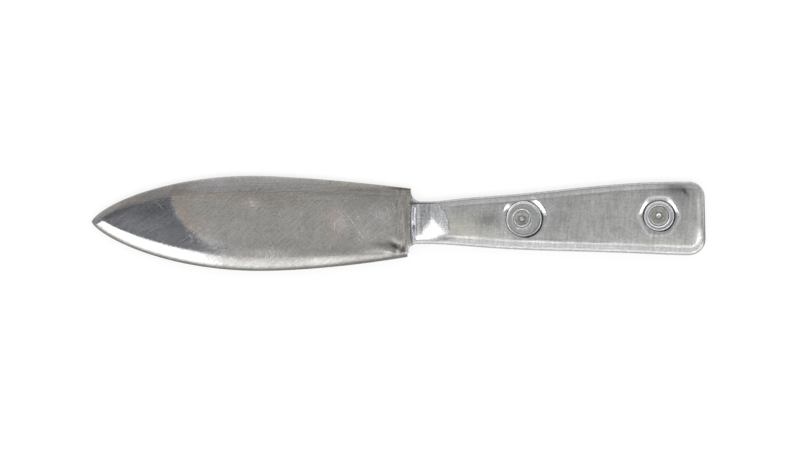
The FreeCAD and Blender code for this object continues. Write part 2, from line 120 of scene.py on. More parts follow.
def clamped_curve(places: Sequence[float], values: Sequence[float], start: float, end: float) -> Callable:
    """Return the smooth cubic through points that leaves and arrives with given slopes.

    Args:
        places: Rising positions of the points.
        values: Height at each position.
        start: Slope at the first point.
        end: Slope at the last point.

    Returns:
        A function from an array of positions to heights.
    """
    x = np.asarray(places, float)
    y = np.asarray(values, float)
    step = np.diff(x)
    rise = np.diff(y) / step
    system = np.zeros((len(x), len(x)))
    right = np.zeros(len(x))
    system[0, 0] = system[-1, -1] = 1
    right[0] = start
    right[-1] = end
    for i in range(1, len(x) - 1):
        system[i, i - 1 : i + 2] = (step[i], 2 * (step[i - 1] + step[i]), step[i - 1])
        right[i] = 3 * (step[i] * rise[i - 1] + step[i - 1] * rise[i])
    slopes = np.linalg.solve(system, right)

    def curve(at: Array) -> Array:
        """Return the cubic's heights at some positions."""
        i = np.clip(np.searchsorted(x, at) - 1, 0, len(step) - 1)
        t = (at - x[i]) / step[i]
        first = y[i] * (1 + 2 * t) * (1 - t) ** 2 + y[i + 1] * t**2 * (3 - 2 * t)
        return first + step[i] * (slopes[i] * t * (1 - t) ** 2 - slopes[i + 1] * t**2 * (1 - t))

    return curve


def outline_normals(ring: Array) -> Array:
    """Return the outward direction at each point of a closed outline."""
    along = np.roll(ring, -1, axis=0) - np.roll(ring, 1, axis=0)
    along /= np.maximum(np.linalg.norm(along, axis=1, keepdims=True), 1e-9)
    turned = np.column_stack([along[:, 1], -along[:, 0]])
    x, y = ring.T
    area = np.sum(x * np.roll(y, -1) - np.roll(x, -1) * y)
    return turned if area > 0 else -turned


def right_of(line: Array) -> Array:
    """Return the direction to the right of an open line at each of its points."""
    along = np.gradient(line, axis=0)
    along /= np.linalg.norm(along, axis=1, keepdims=True)
    return np.column_stack([along[:, 1], -along[:, 0]])


def ring_of(centre: Sequence[float], radius: float, count: int) -> Array:
    """Return a circle as a closed outline of flat points."""
    angle = np.arange(count) * 2 * math.pi / count
    return np.column_stack([centre[0] + radius * np.cos(angle), centre[1] + radius * np.sin(angle)])


def grid_of(low: tuple[float, float], high: tuple[float, float], step: tuple[float, float],
            shift: float = 0.0) -> Array:
    """Return an even spread of flat points.

    Args:
        low: Lowest corner.
        high: Highest corner, which is left out.
        step: Distance between the points, along and across.
        shift: How far every other row is moved along.

    Returns:
        The points, row by row.
    """
    x, y = np.meshgrid(np.arange(low[0], high[0], step[0]), np.arange(low[1], high[1], step[1]))
    x = x + (np.arange(len(x)) % 2)[:, None] * shift
    return np.column_stack([x.ravel(), y.ravel()])


def inside(points: Array, ring: Array, holes: Sequence[Array] = ()) -> Array:
    """Tell which flat points lie within a closed outline and in none of its holes."""
    x, y = points.T
    ax, ay = ring.T
    bx, by = np.roll(ring, -1, axis=0).T
    crossing = (ay[:, None] > y) != (by[:, None] > y)
    slope = np.where(np.abs(by - ay) < 1e-12, 1e-12, by - ay)
    reach = ax[:, None] + (y - ay[:, None]) * ((bx - ax) / slope)[:, None]
    found = (np.sum(crossing & (x < reach), axis=0) % 2).astype(bool)
    for hole in holes:
        found &= ~inside(points, hole)
    return found


def distance_to(points: Array, ring: Array, closed: bool = True) -> Array:
    """Return how far flat points lie from an outline's line."""
    start = ring if closed else ring[:-1]
    span = (np.roll(ring, -1, axis=0) if closed else ring[1:]) - start
    length = np.maximum(np.sum(span**2, axis=1), 1e-12)
    best = np.full(len(points), 1e9)
    for part in np.array_split(np.arange(len(points)), max(1, len(points) // 2000)):
        offset = points[part, None, :] - start[None]
        share = np.clip(np.sum(offset * span[None], axis=2) / length, 0, 1)
        best[part] = np.min(np.linalg.norm(offset - share[..., None] * span[None], axis=2), axis=1)
    return best


# ----------------------------------------
# Meshes


@dataclass(frozen=True)
class FlatMesh:
    """Flat points joined by triangles that keep to some closed outlines.

    Attributes:
        points: The points, with those of the outlines first.
        triangles: Numbers of each triangle's points.
        loops: Numbers of each outline's points.
    """

    points: Array
    triangles: Array
    loops: list[Array]

    @classmethod
    def join(cls, rings: Sequence[Array], free: Sequence[Array] = ()) -> FlatMesh:
        """Join some outlines and the free points between them.

        Args:
            rings: Closed outlines.
            free: Arrays of free points.

        Returns:
            The joined mesh, which may have more points than were given.
        """
        loops = []
        start = 0
        for ring in rings:
            loops.append(np.arange(len(ring)) + start)
            start += len(ring)
        edges = [(int(a), int(b)) for loop in loops for a, b in zip(loop, np.roll(loop, -1))]
        found = delaunay_2d_cdt([Vector(point) for point in np.vstack([*rings, *free])], edges, [], 0, 1e-6)
        points = np.array([tuple(point) for point in found[0]])
        return cls(points, np.array([face for face in found[2] if len(face) == 3]), loops)

    def within(self, ring: Array, holes: Sequence[Array] = ()) -> Array:
        """Tell which triangles lie within a closed outline and in none of its holes."""
        return inside(self.points[self.triangles].mean(axis=1), ring, holes)


class Draft:
    """A mesh while it is drawn, in millimetres from the middle of the heel."""

    def __init__(self) -> None:
        """Start with nothing drawn."""
        self.points: list[Array] = []
        self.faces: list[tuple[int, ...]] = []
        self.count = 0

    def add(self, points: Array) -> Array:
        """Add points and return their numbers."""
        self.points.append(np.asarray(points, float))
        self.count += len(points)
        return np.arange(self.count - len(points), self.count)

    def lift(self, ring: Array, height: float | Array) -> Array:
        """Add flat points at a height and return their numbers."""
        return self.add(np.column_stack([ring, np.broadcast_to(height, len(ring))]))

    def strip(self, first: Array, second: Array, closed: bool = True) -> None:
        """Join two rows of the same number of points by quads."""
        last = len(first) if closed else len(first) - 1
        for i in range(last):
            j = (i + 1) % len(first)
            self.faces.append((first[i], first[j], second[j], second[i]))

    def fill(self, numbers: Array, triangles: Array) -> None:
        """Draw triangles between points that are already there."""
        self.faces += [tuple(numbers[triangle]) for triangle in triangles]

    def make(self, name: str) -> Object:
        """Weld the drawn faces into a closed piece, in place and in metres."""
        points = (np.concatenate(self.points) + [HEEL_X, 0, 0]) * MM
        mesh = bpy.data.meshes.new(name)
        mesh.from_pydata(points.tolist(), [], [tuple(int(i) for i in face) for face in self.faces])
        return as_piece(mesh, crease=38, weld=True)


def as_piece(mesh: Mesh, crease: float, weld: bool = False) -> Object:
    """Put a mesh in the scene, with its faces outwards and smooth.

    Args:
        mesh: The mesh, named as the piece will be.
        crease: Degrees from which an edge stays sharp.
        weld: Whether its doubled points are merged first, and its loose ones removed.

    Returns:
        The new object.
    """
    shape = bmesh.new()
    shape.from_mesh(mesh)
    if weld:
        bmesh.ops.remove_doubles(shape, verts=shape.verts, dist=0.002 * MM)
        bmesh.ops.dissolve_degenerate(shape, edges=shape.edges, dist=0.0001 * MM)
        loose = [vertex for vertex in shape.verts if not vertex.link_faces]
        bmesh.ops.delete(shape, geom=loose, context="VERTS")
    bmesh.ops.recalc_face_normals(shape, faces=shape.faces)
    shape.to_mesh(mesh)
    shape.free()
    mesh.polygons.foreach_set("use_smooth", [True] * len(mesh.polygons))
    mesh.set_sharp_from_angle(angle=math.radians(crease))
    return in_scene(bpy.data.objects.new(mesh.name, mesh))


def in_scene(thing: Object) -> Object:
    """Link a new object to the scene and return it."""
    bpy.context.scene.collection.objects.link(thing)
    return thing


def place_values(piece: Object) -> Array:
    """Return a piece's points in millimetres from the middle of the heel."""
    values = np.zeros(len(piece.data.vertices) * 3)
    piece.data.vertices.foreach_get("co", values)
    return values.reshape(-1, 3) / MM - [HEEL_X, 0, 0]


def store(piece: Object, name: str, *values: Array) -> None:
    """Keep the strongest of some values for each point of a piece, for its finish to read."""
    attribute = piece.data.attributes.new(name, "FLOAT", "POINT")
    attribute.data.foreach_set("value", np.clip(np.maximum.reduce(values), 0, 1).astype(np.float32))


# ----------------------------------------
# Node trees


def linear(code: str) -> tuple[float, float, float, float]:
    """Turn an sRGB hex colour, such as "#RRGGBB", into linear red, green, blue and an alpha of one."""
    values = [int(code[place : place + 2], 16) / 255 for place in (1, 3, 5)]
    lit = [value / 12.92 if value <= 0.04045 else ((value + 0.055) / 1.055) ** 2.4 for value in values]
    return (lit[0], lit[1], lit[2], 1.0)


def add_node(tree: NodeTree, kind: str, feeds: dict | None = None, **settings: object) -> Node:
    """Add a node to a tree, set it up and link what feeds it.

    Args:
        tree: Tree that takes the node.
        kind: Blender's type name of the node.
        feeds: For each input, by name or place, the socket that is linked to it, the node whose first output
            is, or the value that it takes.
        **settings: Properties of the node.

    Returns:
        The new node.
    """
    node = tree.nodes.new(kind)
    for name, value in settings.items():
        setattr(node, name, value)
    for socket, source in (feeds or {}).items():
        if isinstance(source, Node):
            source = next(output for output in source.outputs if output.enabled)
        if isinstance(source, NodeSocket):
            tree.links.new(source, node.inputs[socket])
        else:
            node.inputs[socket].default_value = source
    return node


def blank_material(name: str) -> tuple[Material, NodeTree]:
    """Return a new material and its tree, with no node in it."""
    material = bpy.data.materials.new(name)
    material.use_nodes = True
    material.node_tree.nodes.clear()
    return material, material.node_tree


def shape_tree(name: str, inputs: dict[str, str]) -> tuple[NodeTree, bpy.types.NodeOutputs]:
    """Start a geometry node tree.

    Args:
        name: Name of the tree.
        inputs: Kind of each named input, such as Float or Vector.

    Returns:
        The tree and the sockets of its inputs.
    """
    tree = bpy.data.node_groups.new(name, "GeometryNodeTree")
    for label, kind in {"Geometry": "Geometry", **inputs}.items():
        tree.interface.new_socket(label, in_out="INPUT", socket_type=f"NodeSocket{kind}")
    tree.interface.new_socket("Geometry", in_out="OUTPUT", socket_type="NodeSocketGeometry")
    return tree, add_node(tree, "NodeGroupInput").outputs


def dress(tree: NodeTree, shape: Node, material: Material) -> None:
    """End a geometry node tree with the real shape in its material."""
    real = add_node(tree, "GeometryNodeRealizeInstances", {"Geometry": shape})
    dressed = add_node(tree, "GeometryNodeSetMaterial", {"Geometry": real, "Material": material})
    add_node(tree, "NodeGroupOutput", {0: dressed})


def from_tree(name: str, tree: NodeTree, inputs: dict[str, object]) -> Object:
    """Run a geometry node tree once and keep its result as a plain mesh.

    Args:
        name: Name of the piece.
        tree: The tree.
        inputs: Value of each named input.

    Returns:
        The new object, with no modifier left on it.
    """
    carrier = in_scene(bpy.data.objects.new(f"{name}_carrier", bpy.data.meshes.new(f"{name}_carrier")))
    modifier = carrier.modifiers.new("tree", "NODES")
    modifier.node_group = tree
    for item in tree.interface.items_tree:
        if item.item_type == "SOCKET" and item.in_out == "INPUT" and item.name in inputs:
            modifier[item.identifier] = inputs[item.name]
    carrier.update_tag()
    bpy.context.view_layer.update()
    graph = bpy.context.evaluated_depsgraph_get()
    mesh = bpy.data.meshes.new_from_object(carrier.evaluated_get(graph), depsgraph=graph)
    mesh.name = name
    bpy.data.objects.remove(carrier)
    return as_piece(mesh, crease=30)


# ----------------------------------------
# Finishes


@dataclass(frozen=True)
class Strokes:
    """Fine parallel marks left in a metal by a file, a stone or wear.

    Attributes:
        turn: Direction, in degrees from the knife's length.
        length: Usual length of a mark.
        width: Usual width of a mark. The real ones are finer than 0.3 mm, and are drawn coarser to show.
        share: How strongly the marks show.
        mask: Vertex value that keeps them to some places; empty for everywhere.
    """

    turn: float
    length: float
    width: float
    share: float
    mask: str = ""

    def lay(self, tree: NodeTree, vector: Node, number: int) -> Node:
        """Add the marks of this direction, some light and some dark about 0.

        Args:
            tree: Material's tree.
            vector: Position in millimetres.
            number: Place in the finish's list, which keeps one pattern apart from the next.

        Returns:
            The node that gives the marks.
        """
        laid = add_node(tree, "ShaderNodeMapping", {
            "Vector": vector, "Rotation": (0, 0, -math.radians(self.turn)),
            "Location": (number * 17.0, number * 5.0, 0)})
        thin = add_node(tree, VECTOR_MATH, {0: laid, 1: (1 / self.length, 1 / self.width, 0.0)},
                        operation="MULTIPLY")
        lines = cells(tree, thin, 1.0, 1.0, 0.25, 0.75)
        lines = add_node(tree, MATH, {0: lines, 1: 2 * self.share, 2: -self.share}, operation="MULTIPLY_ADD")
        if self.mask:
            mask = add_node(tree, "ShaderNodeAttribute", attribute_name=self.mask).outputs["Fac"]
            lines = add_node(tree, MATH, {0: lines, 1: mask}, operation="MULTIPLY")
        return lines


def cells(tree: NodeTree, vector: Node, size: float, detail: float, low: float,
          high: float) -> Node:
    """Add a cloudy pattern of a real size, stretched between two of its values.

    Args:
        tree: Material's tree.
        vector: Position in millimetres.
        size: Size of the pattern's cells, in millimetres.
        detail: How many finer layers it has.
        low: Value that becomes 0.
        high: Value that becomes 1.

    Returns:
        The node that gives the stretched value.
    """
    noise = add_node(tree, "ShaderNodeTexNoise", {"Vector": vector, "Scale": 1 / size, "Detail": detail,
                                                  "Roughness": 0.6})
    return add_node(tree, "ShaderNodeMapRange", {
        "Value": noise.outputs["Fac"], "From Min": low, "From Max": high}, interpolation_type="SMOOTHSTEP")


@dataclass(frozen=True)
class MetalFinish:
    """A bare metal with its making, wear and stains.

    Attributes:
        name: Name of the finish.
        satin: Colour where the metal is rubbed and a little tarnished.
        clean: Colour where it is polished or worn, also laid to paint highlights.
        stain: Colour of its clouds.
        warm: Colour of its heat-brown or yellowish places.
        dirt_and_shade: Colour of the grime in its hollows, also laid as painted shade in gaps, creases and
            along edges.
        stain_mm: Size of the clouds.
        stain_share: How much of the clouds shows, from 0 to 1.
        rough: Roughness of the rubbed surface.
        bright: Roughness where it is polished.
        grain_mm: Size of the surface's grain.
        grain_depth: Depth of the grain, in millimetres.
        speckle: How much the grain lightens and darkens the metal.
        strokes: Marks of the tool and of wear.
        pit_share: How strongly the pits show.
        glint_share: How strongly small painted glints show, light specks where the metal is polished or worn.
        turned_about: Middle of turned rings, along and across the knife, or nothing.
        polished_off: Share of the grain's depth that polish takes away.
        stroke_shade: How much the strokes lighten and darken the metal.
        pit_mm: Size of the pits.
        pit_shade: How much the pits darken the metal.
        glint_mm: Size of the painted glints.
        groove_turn: Radians of the turned grooves' wave in a millimetre.
    """

    name: str
    satin: str
    clean: str
    stain: str
    warm: str
    dirt_and_shade: str
    stain_mm: float
    stain_share: float
    rough: float
    bright: float
    grain_mm: float
    grain_depth: float
    speckle: float
    strokes: tuple[Strokes, ...] = ()
    pit_share: float = 0.0
    glint_share: float = 0.0
    turned_about: tuple[float, float] | None = None
    polished_off: float = 0.75
    stroke_shade: float = 0.25
    pit_mm: float = 0.7
    pit_shade: float = 0.3
    glint_mm: float = 0.55
    groove_turn: float = 14.0

    def _relief(self, tree: NodeTree, vector: Node,
                masks: dict[str, NodeSocket]) -> tuple[Node, Node]:
        """Add the grain, the strokes, the pits, the painted glints and the turned rings.

        Args:
            tree: Material's tree.
            vector: Position in millimetres.
            masks: Vertex values of the wear, by name.

        Returns:
            How much they lighten or darken the metal, and their height.
        """
        grain = cells(tree, vector, self.grain_mm, 2.0, 0.2, 0.8)
        shade = add_node(tree, MATH, {0: grain, 1: self.speckle, 2: 1 - self.speckle / 2},
                         operation="MULTIPLY_ADD")
        left = add_node(tree, MATH, {0: masks["polish"], 1: -self.polished_off, 2: 1.0},
                        operation="MULTIPLY_ADD")
        height = add_node(tree, MATH, {0: grain, 1: left}, operation="MULTIPLY")
        lines: object = 0.0
        for number, strokes in enumerate(self.strokes):
            laid = strokes.lay(tree, vector, number)
            lines = add_node(tree, MATH, {0: lines, 1: laid}, operation="ADD")
        if self.strokes:
            shade = add_node(tree, MATH, {0: lines, 1: self.stroke_shade, 2: shade},
                             operation="MULTIPLY_ADD")
            height = add_node(tree, MATH, {0: height, 1: lines}, operation="ADD")
        if self.pit_share > 0:
            pits = cells(tree, vector, self.pit_mm, 0.0, 0.66, 0.8)
            height = add_node(tree, MATH, {0: pits, 1: -self.pit_share, 2: height}, operation="MULTIPLY_ADD")
            shade = add_node(tree, MATH, {0: pits, 1: -self.pit_shade * self.pit_share, 2: shade},
                             operation="MULTIPLY_ADD")
        # Painted glints: small light specks where the metal is polished or worn.
        if self.glint_share > 0:
            glints = cells(tree, vector, self.glint_mm, 1.0, 0.6, 0.75)
            worn = add_node(tree, MATH, {0: masks["worn"], 1: 0.6, 2: 0.25}, operation="MULTIPLY_ADD")
            shown = add_node(tree, MATH, {0: masks["polish"], 1: worn}, operation="ADD")
            glints = add_node(tree, MATH, {0: glints, 1: shown}, operation="MULTIPLY")
            shade = add_node(tree, MATH, {0: glints, 1: self.glint_share, 2: shade},
                             operation="MULTIPLY_ADD")
        if self.turned_about:
            centred = add_node(tree, VECTOR_MATH, {0: vector, 1: (*self.turned_about, 0)},
                               operation="SUBTRACT")
            flat = add_node(tree, VECTOR_MATH, {0: centred, 1: (1, 1, 0)}, operation="MULTIPLY")
            radius = add_node(tree, VECTOR_MATH, {0: flat}, operation="LENGTH").outputs["Value"]
            turned = add_node(tree, MATH, {0: radius, 1: self.groove_turn}, operation="MULTIPLY")
            grooves = add_node(tree, MATH, {0: turned}, operation="SINE")
            height = add_node(tree, MATH, {0: grooves, 1: 0.5, 2: height}, operation="MULTIPLY_ADD")
        return shade, height

    def build(self) -> Material:
        """Make the material, with its stains, warm places, wear and painted highlights, polish, and grime and
        painted shade laid one over the other.
        """
        material, tree = blank_material(self.name)
        place = add_node(tree, "ShaderNodeTexCoord").outputs["Object"]
        vector = add_node(tree, VECTOR_MATH, {0: place, "Scale": 1 / MM}, operation="SCALE")
        # The dirt mask carries grime and painted shade, both laid as the dirt colour.
        masks = {name: add_node(tree, "ShaderNodeAttribute", attribute_name=name).outputs["Fac"]
                 for name in ("polish", "worn", "warm", "dirt_and_shade")}
        clouds = cells(tree, vector, self.stain_mm, 3.0, 0.35, 0.72)
        stained = add_node(tree, MATH, {0: clouds, 1: self.stain_share}, operation="MULTIPLY")
        colour: object = linear(self.satin)
        # Worn and polished places take the clean colour, which in some places paints highlights.
        for factor, code in ((stained, self.stain), (masks["warm"], self.warm), (masks["worn"], self.clean),
                             (masks["polish"], self.clean), (masks["dirt_and_shade"], self.dirt_and_shade)):
            colour = add_node(tree, "ShaderNodeMix", {"Factor": factor, "A": colour, "B": linear(code)},
                              data_type="RGBA")
        shade, height = self._relief(tree, vector, masks)
        tinted = add_node(tree, VECTOR_MATH, {0: colour, "Scale": shade}, operation="SCALE")
        satin = add_node(tree, MATH, {0: clouds, 1: 0.2 * self.rough, 2: 0.9 * self.rough},
                         operation="MULTIPLY_ADD")
        rough = add_node(tree, "ShaderNodeMix", {"Factor": masks["polish"], "A": satin, "B": self.bright},
                         data_type="FLOAT")
        bump = add_node(tree, "ShaderNodeBump", {"Strength": 1.0, "Distance": self.grain_depth * MM,
                                                 "Height": height})
        shader = add_node(tree, "ShaderNodeBsdfPrincipled", {"Base Color": tinted, "Metallic": 1.0,
                                                             "Roughness": rough, "Normal": bump})
        add_node(tree, "ShaderNodeOutputMaterial", {"Surface": shader})
        return material


@dataclass(frozen=True)
class Patch:
    """A soft spot on a face, in millimetres from the middle of the heel.

    Attributes:
        x: Middle along the knife.
        y: Middle across it.
        long: Half its length.
        wide: Half its width.
        share: How strongly it shows.
        turn: Direction of its length, in degrees.
    """

    x: float
    y: float
    long: float
    wide: float
    share: float
    turn: float = 0.0

    def at(self, x: Array, y: Array) -> Array:
        """Return how strongly the spot shows at some places."""
        angle = math.radians(self.turn)
        along = (x - self.x) * math.cos(angle) + (y - self.y) * math.sin(angle)
        across = (y - self.y) * math.cos(angle) - (x - self.x) * math.sin(angle)
        return self.share * np.exp(-((along / self.long) ** 2) - (across / self.wide) ** 2)


def patched(patches: Sequence[Patch], x: Array, y: Array) -> Array:
    """Return the sum of some soft spots at some places."""
    return sum((patch.at(x, y) for patch in patches), np.zeros(len(x)))


# Carbon steel, hand-beaten and rubbed on a stone: a taupe satin with cloudy stains, polished dark at the tip.
BLADE_STEEL = MetalFinish(
    "worn_blade_steel",
    satin="#9E9C96", clean="#BAB9B8", stain="#85827C", warm="#A0948B", dirt_and_shade="#35332F",
    stain_mm=8.0, stain_share=0.65, rough=0.37, bright=0.16, grain_mm=0.55, grain_depth=0.010, speckle=0.3,
    strokes=(Strokes(40.0, 6.0, 0.45, 0.36), Strokes(-52.0, 3.0, 0.4, 0.2),
             Strokes(2.0, 18.0, 0.5, 0.34, "drawn"), Strokes(88.0, 5.0, 0.45, 0.9, "filed")),
    pit_share=0.35, glint_share=0.16)

# Aluminium sheet, pressed and rubbed with the hand: a bright satin with grey finger-worn clouds and specks.
SCALE_ALUMINIUM = MetalFinish(
    "pressed_scale_aluminium",
    satin="#A6A5A2", clean="#D9D9D8", stain="#8E8E8C", warm="#BBB9AC", dirt_and_shade="#4E4F4F",
    stain_mm=6.0, stain_share=0.75, rough=0.42, bright=0.2, grain_mm=0.55, grain_depth=0.011, speckle=0.3,
    strokes=(Strokes(86.0, 7.0, 0.8, 0.36), Strokes(4.0, 16.0, 0.6, 0.14),
             Strokes(89.0, 6.0, 0.9, 0.5, "filed")), pit_share=0.35, glint_share=0.16)

# Turned steel of the rivet heads: fine rings round the middle, drawn coarser to show, with rims that shine.
FORE_HEAD_STEEL = MetalFinish(
    "turned_fore_head_steel",
    satin="#A0A09E", clean="#D2D2D0", stain="#8D8D8B", warm="#A9A9A7", dirt_and_shade="#4A4A48",
    stain_mm=4.0, stain_share=0.4, rough=0.36, bright=0.22, grain_mm=0.4, grain_depth=0.008, speckle=0.2,
    strokes=(Strokes(60.0, 3.0, 0.4, 0.3),), pit_share=0.2, glint_share=0.2, turned_about=FORE_HEAD)
REAR_HEAD_STEEL = MetalFinish(
    "turned_rear_head_steel",
    satin="#A4A4A5", clean="#D0D0CE", stain="#8E8E90", warm="#C0C0C2", dirt_and_shade="#4A4A48",
    stain_mm=3.0, stain_share=0.5, rough=0.38, bright=0.24, grain_mm=0.4, grain_depth=0.012, speckle=0.24,
    strokes=(Strokes(60.0, 3.0, 0.4, 0.4),), pit_share=0.3, glint_share=0.2, turned_about=REAR_HEAD)

# Steel pin ends, cut off rough: a duller, faintly olive grey with coarse grain.
PIN_STEEL = MetalFinish(
    "rough_pin_steel",
    satin="#8C8C86", clean="#C6C6C3", stain="#74746D", warm="#A7A7A1", dirt_and_shade="#3E3E3A",
    stain_mm=1.2, stain_share=0.7, rough=0.45, bright=0.26, grain_mm=0.45, grain_depth=0.05, speckle=0.5,
    pit_share=0.6, glint_share=0.3)

# Tin solder, cooled in lumps: bright and wet-looking.
TIN_SOLDER = MetalFinish(
    "cooled_tin_solder",
    satin="#BABCBE", clean="#E4E6E8", stain="#86888A", warm="#DADCDF", dirt_and_shade="#4A4A48",
    stain_mm=0.9, stain_share=0.8, rough=0.3, bright=0.15, grain_mm=0.5, grain_depth=0.03, speckle=0.5,
    pit_share=0.6)


# ----------------------------------------
# Blade and tang


@dataclass(frozen=True)
class LeafEdge:
    """One long edge of the leaf, from the tip to the heel.

    Attributes:
        side: Side of the knife that it lies on.
        widest: Place of the widest reach, before the heel.
        bevel: Widest width of the bevel.
        tip_round: Power of the sweep to the tip.
        field_round: How much that power grows from the edge to the field.
        run_power: Power of the run to the heel.
        tip_roll: Power of the bevel's section at the tip; 1 is a flat bevel and 2 a round one.
        heel_roll: The same power from the middle of the blade to the heel.
        lip: Width of the rounding at the very edge.
        reach: Widest reach from the centre line.
    """

    side: Side
    widest: float
    bevel: float
    tip_round: float
    field_round: float
    run_power: float
    tip_roll: float
    heel_roll: float
    lip: float
    reach: float = 15.5

    def line(self, leaf: LeafBlade, share: float, front: int, rear: int) -> Array:
        """Return the edge from the tip to the heel, moved in by a share of the bevel.

        Args:
            leaf: The blade that the edge belongs to.
            share: Share of the bevel's width.
            front: Number of points from the tip to the widest place.
            rear: Number of points from there to the heel.

        Returns:
            Flat points.
        """
        corner = HEEL_REACH[self.side]
        reach = self.reach - share * self.bevel
        heel = corner - share * leaf.heel_bevel
        tip = -leaf.length + share * leaf.tip_bevel
        rise = leaf.tip_rise + share * leaf.field_rise
        power = self.tip_round + share * self.field_round
        u = np.sin(np.linspace(math.pi / 2, 0, front))
        run = np.linspace(0, 1, rear + 1)[1:]
        heel_x = self.side * HEEL_LEAN * heel / corner
        x = np.concatenate([(tip + self.widest) * u, (heel_x + self.widest) * run]) - self.widest
        sweep = rise + (self.side * reach - rise) * np.maximum(0, 1 - u**2) ** power
        straight = self.side * (reach - (reach - heel) * run**self.run_power)
        return np.column_stack([x, np.concatenate([sweep, straight])])


@dataclass(frozen=True)
class Scratch:
    """A scratch across the blade, bowed through three points, in millimetres from the middle of the heel.

    Attributes:
        start: Where it starts.
        middle: Where it is half way.
        end: Where it runs out.
        width: Half the width of its burr.
    """

    start: tuple[float, float]
    middle: tuple[float, float]
    end: tuple[float, float]
    width: float = 0.09

    def run(self) -> tuple[Array, Array]:
        """Return flat points along the scratch, and half its uneven width at each."""
        share = np.linspace(0, 1, 25)
        first, middle, last = (np.array(point) for point in (self.start, self.middle, self.end))
        bow = 2 * middle - (first + last) / 2
        weights = np.column_stack([(1 - share) ** 2, 2 * share * (1 - share), share**2])
        uneven = 0.7 + 0.3 * np.sin(share * 31 + self.start[0] * 3)
        taper = 0.15 + 0.85 * np.sin(math.pi * share) ** 0.6
        return weights @ [first, bow, last], 0.8 * self.width * taper * uneven


# The scratches of use: two long slanting ones with a nick between them, a bow, and short nicks at the tip.
SCRATCHES = (
    Scratch((-21.3, 4.4), (-17.6, -0.9), (-13.8, -6.1), 0.11),
    Scratch((-13.1, 4.0), (-9.0, 1.2), (-5.3, -1.2)), Scratch((-23.9, 0.5), (-24.2, -1.6), (-21.9, -3.0)),
    Scratch((-19.0, 1.2), (-17.0, 2.0), (-15.4, 2.1), 0.12),
    Scratch((-16.4, 2.6), (-17.0, 1.7), (-17.9, 0.8), 0.12),
    Scratch((-51.8, 7.9), (-50.6, 6.6), (-49.8, 5.4), 0.12),
    Scratch((-53.2, 6.4), (-51.0, 5.8), (-48.8, 5.9)),
    Scratch((-83.0, 7.0), (-81.3, 5.9), (-79.9, 4.3), 0.13),
    Scratch((-66.5, -4.0), (-63.5, -5.2), (-61.2, -7.4), 0.12),
    Scratch((-72.2, -3.0), (-70.8, -4.6), (-70.4, -6.2)),
    Scratch((-56.4, -9.2), (-55.0, -9.8), (-53.5, -10.9), 0.12),
    Scratch((-45.9, -8.0), (-45.0, -9.4), (-45.2, -11.2)),
    Scratch((-30.0, 8.6), (-27.0, 8.2), (-24.6, 7.0)), Scratch((-8.2, 6.0), (-6.8, 3.8), (-6.4, 1.0), 0.12)
)


@dataclass(frozen=True)
class Nicks:
    """A cluster of short fine scratches, strewn about one place and running much the same way.

    Attributes:
        x: Middle of the cluster along the knife, from the middle of the heel.
        y: Middle across it.
        spread: How far the nicks stray from the middle.
        turn: Direction that most of them run in, in degrees.
        count: How many there are.
        sway: Usual difference of a nick's direction from that, in degrees.
        shortest: Half the length of the shortest nick.
        longest: Half the length of the longest.
    """

    x: float
    y: float
    spread: float
    turn: float
    count: int
    sway: float = 18.0
    shortest: float = 0.35
    longest: float = 1.1

    def strew(self, chance: np.random.Generator) -> list[Scratch]:
        """Draw lots for the cluster's scratches.

        Args:
            chance: Source of the lots.

        Returns:
            The scratches.
        """
        scratches = []
        for _ in range(self.count):
            middle = np.array([self.x, self.y]) + chance.normal(0, self.spread / 2, 2)
            angle = math.radians(self.turn + chance.normal(0, self.sway))
            half = chance.uniform(self.shortest, self.longest) * np.array([math.cos(angle), math.sin(angle)])
            bow = middle + chance.normal(0, 0.06, 2)
            scratches.append(Scratch(tuple(middle - half), tuple(bow), tuple(middle + half), 0.08))
        return scratches


# Where fine nicks gather: round the long scratches near the heel, at the edge of the polished tip and on the
# belly.
NICK_CLUSTERS = (
    Nicks(-20.5, 3.0, 2.4, -60, 9), Nicks(-10.0, 2.2, 3.0, -50, 10), Nicks(-16.0, -3.5, 2.6, -58, 8),
    Nicks(-67.0, -5.0, 3.2, -48, 16), Nicks(-60.0, -8.4, 2.6, -42, 13), Nicks(-50.8, 6.6, 1.4, -30, 8),
    Nicks(-46.0, -9.6, 4.0, 84, 9), Nicks(-5.4, 4.6, 1.6, -70, 6),
)


def ragged(y: Array, start: float, bow: float) -> Array:
    """Return where a ragged line across the tang's root runs, by its start on the centre line and its bow."""
    return start + bow * y**2 + 0.12 * np.sin(y * 3.1) + 0.08 * np.sin(y * 7.3 + 1)


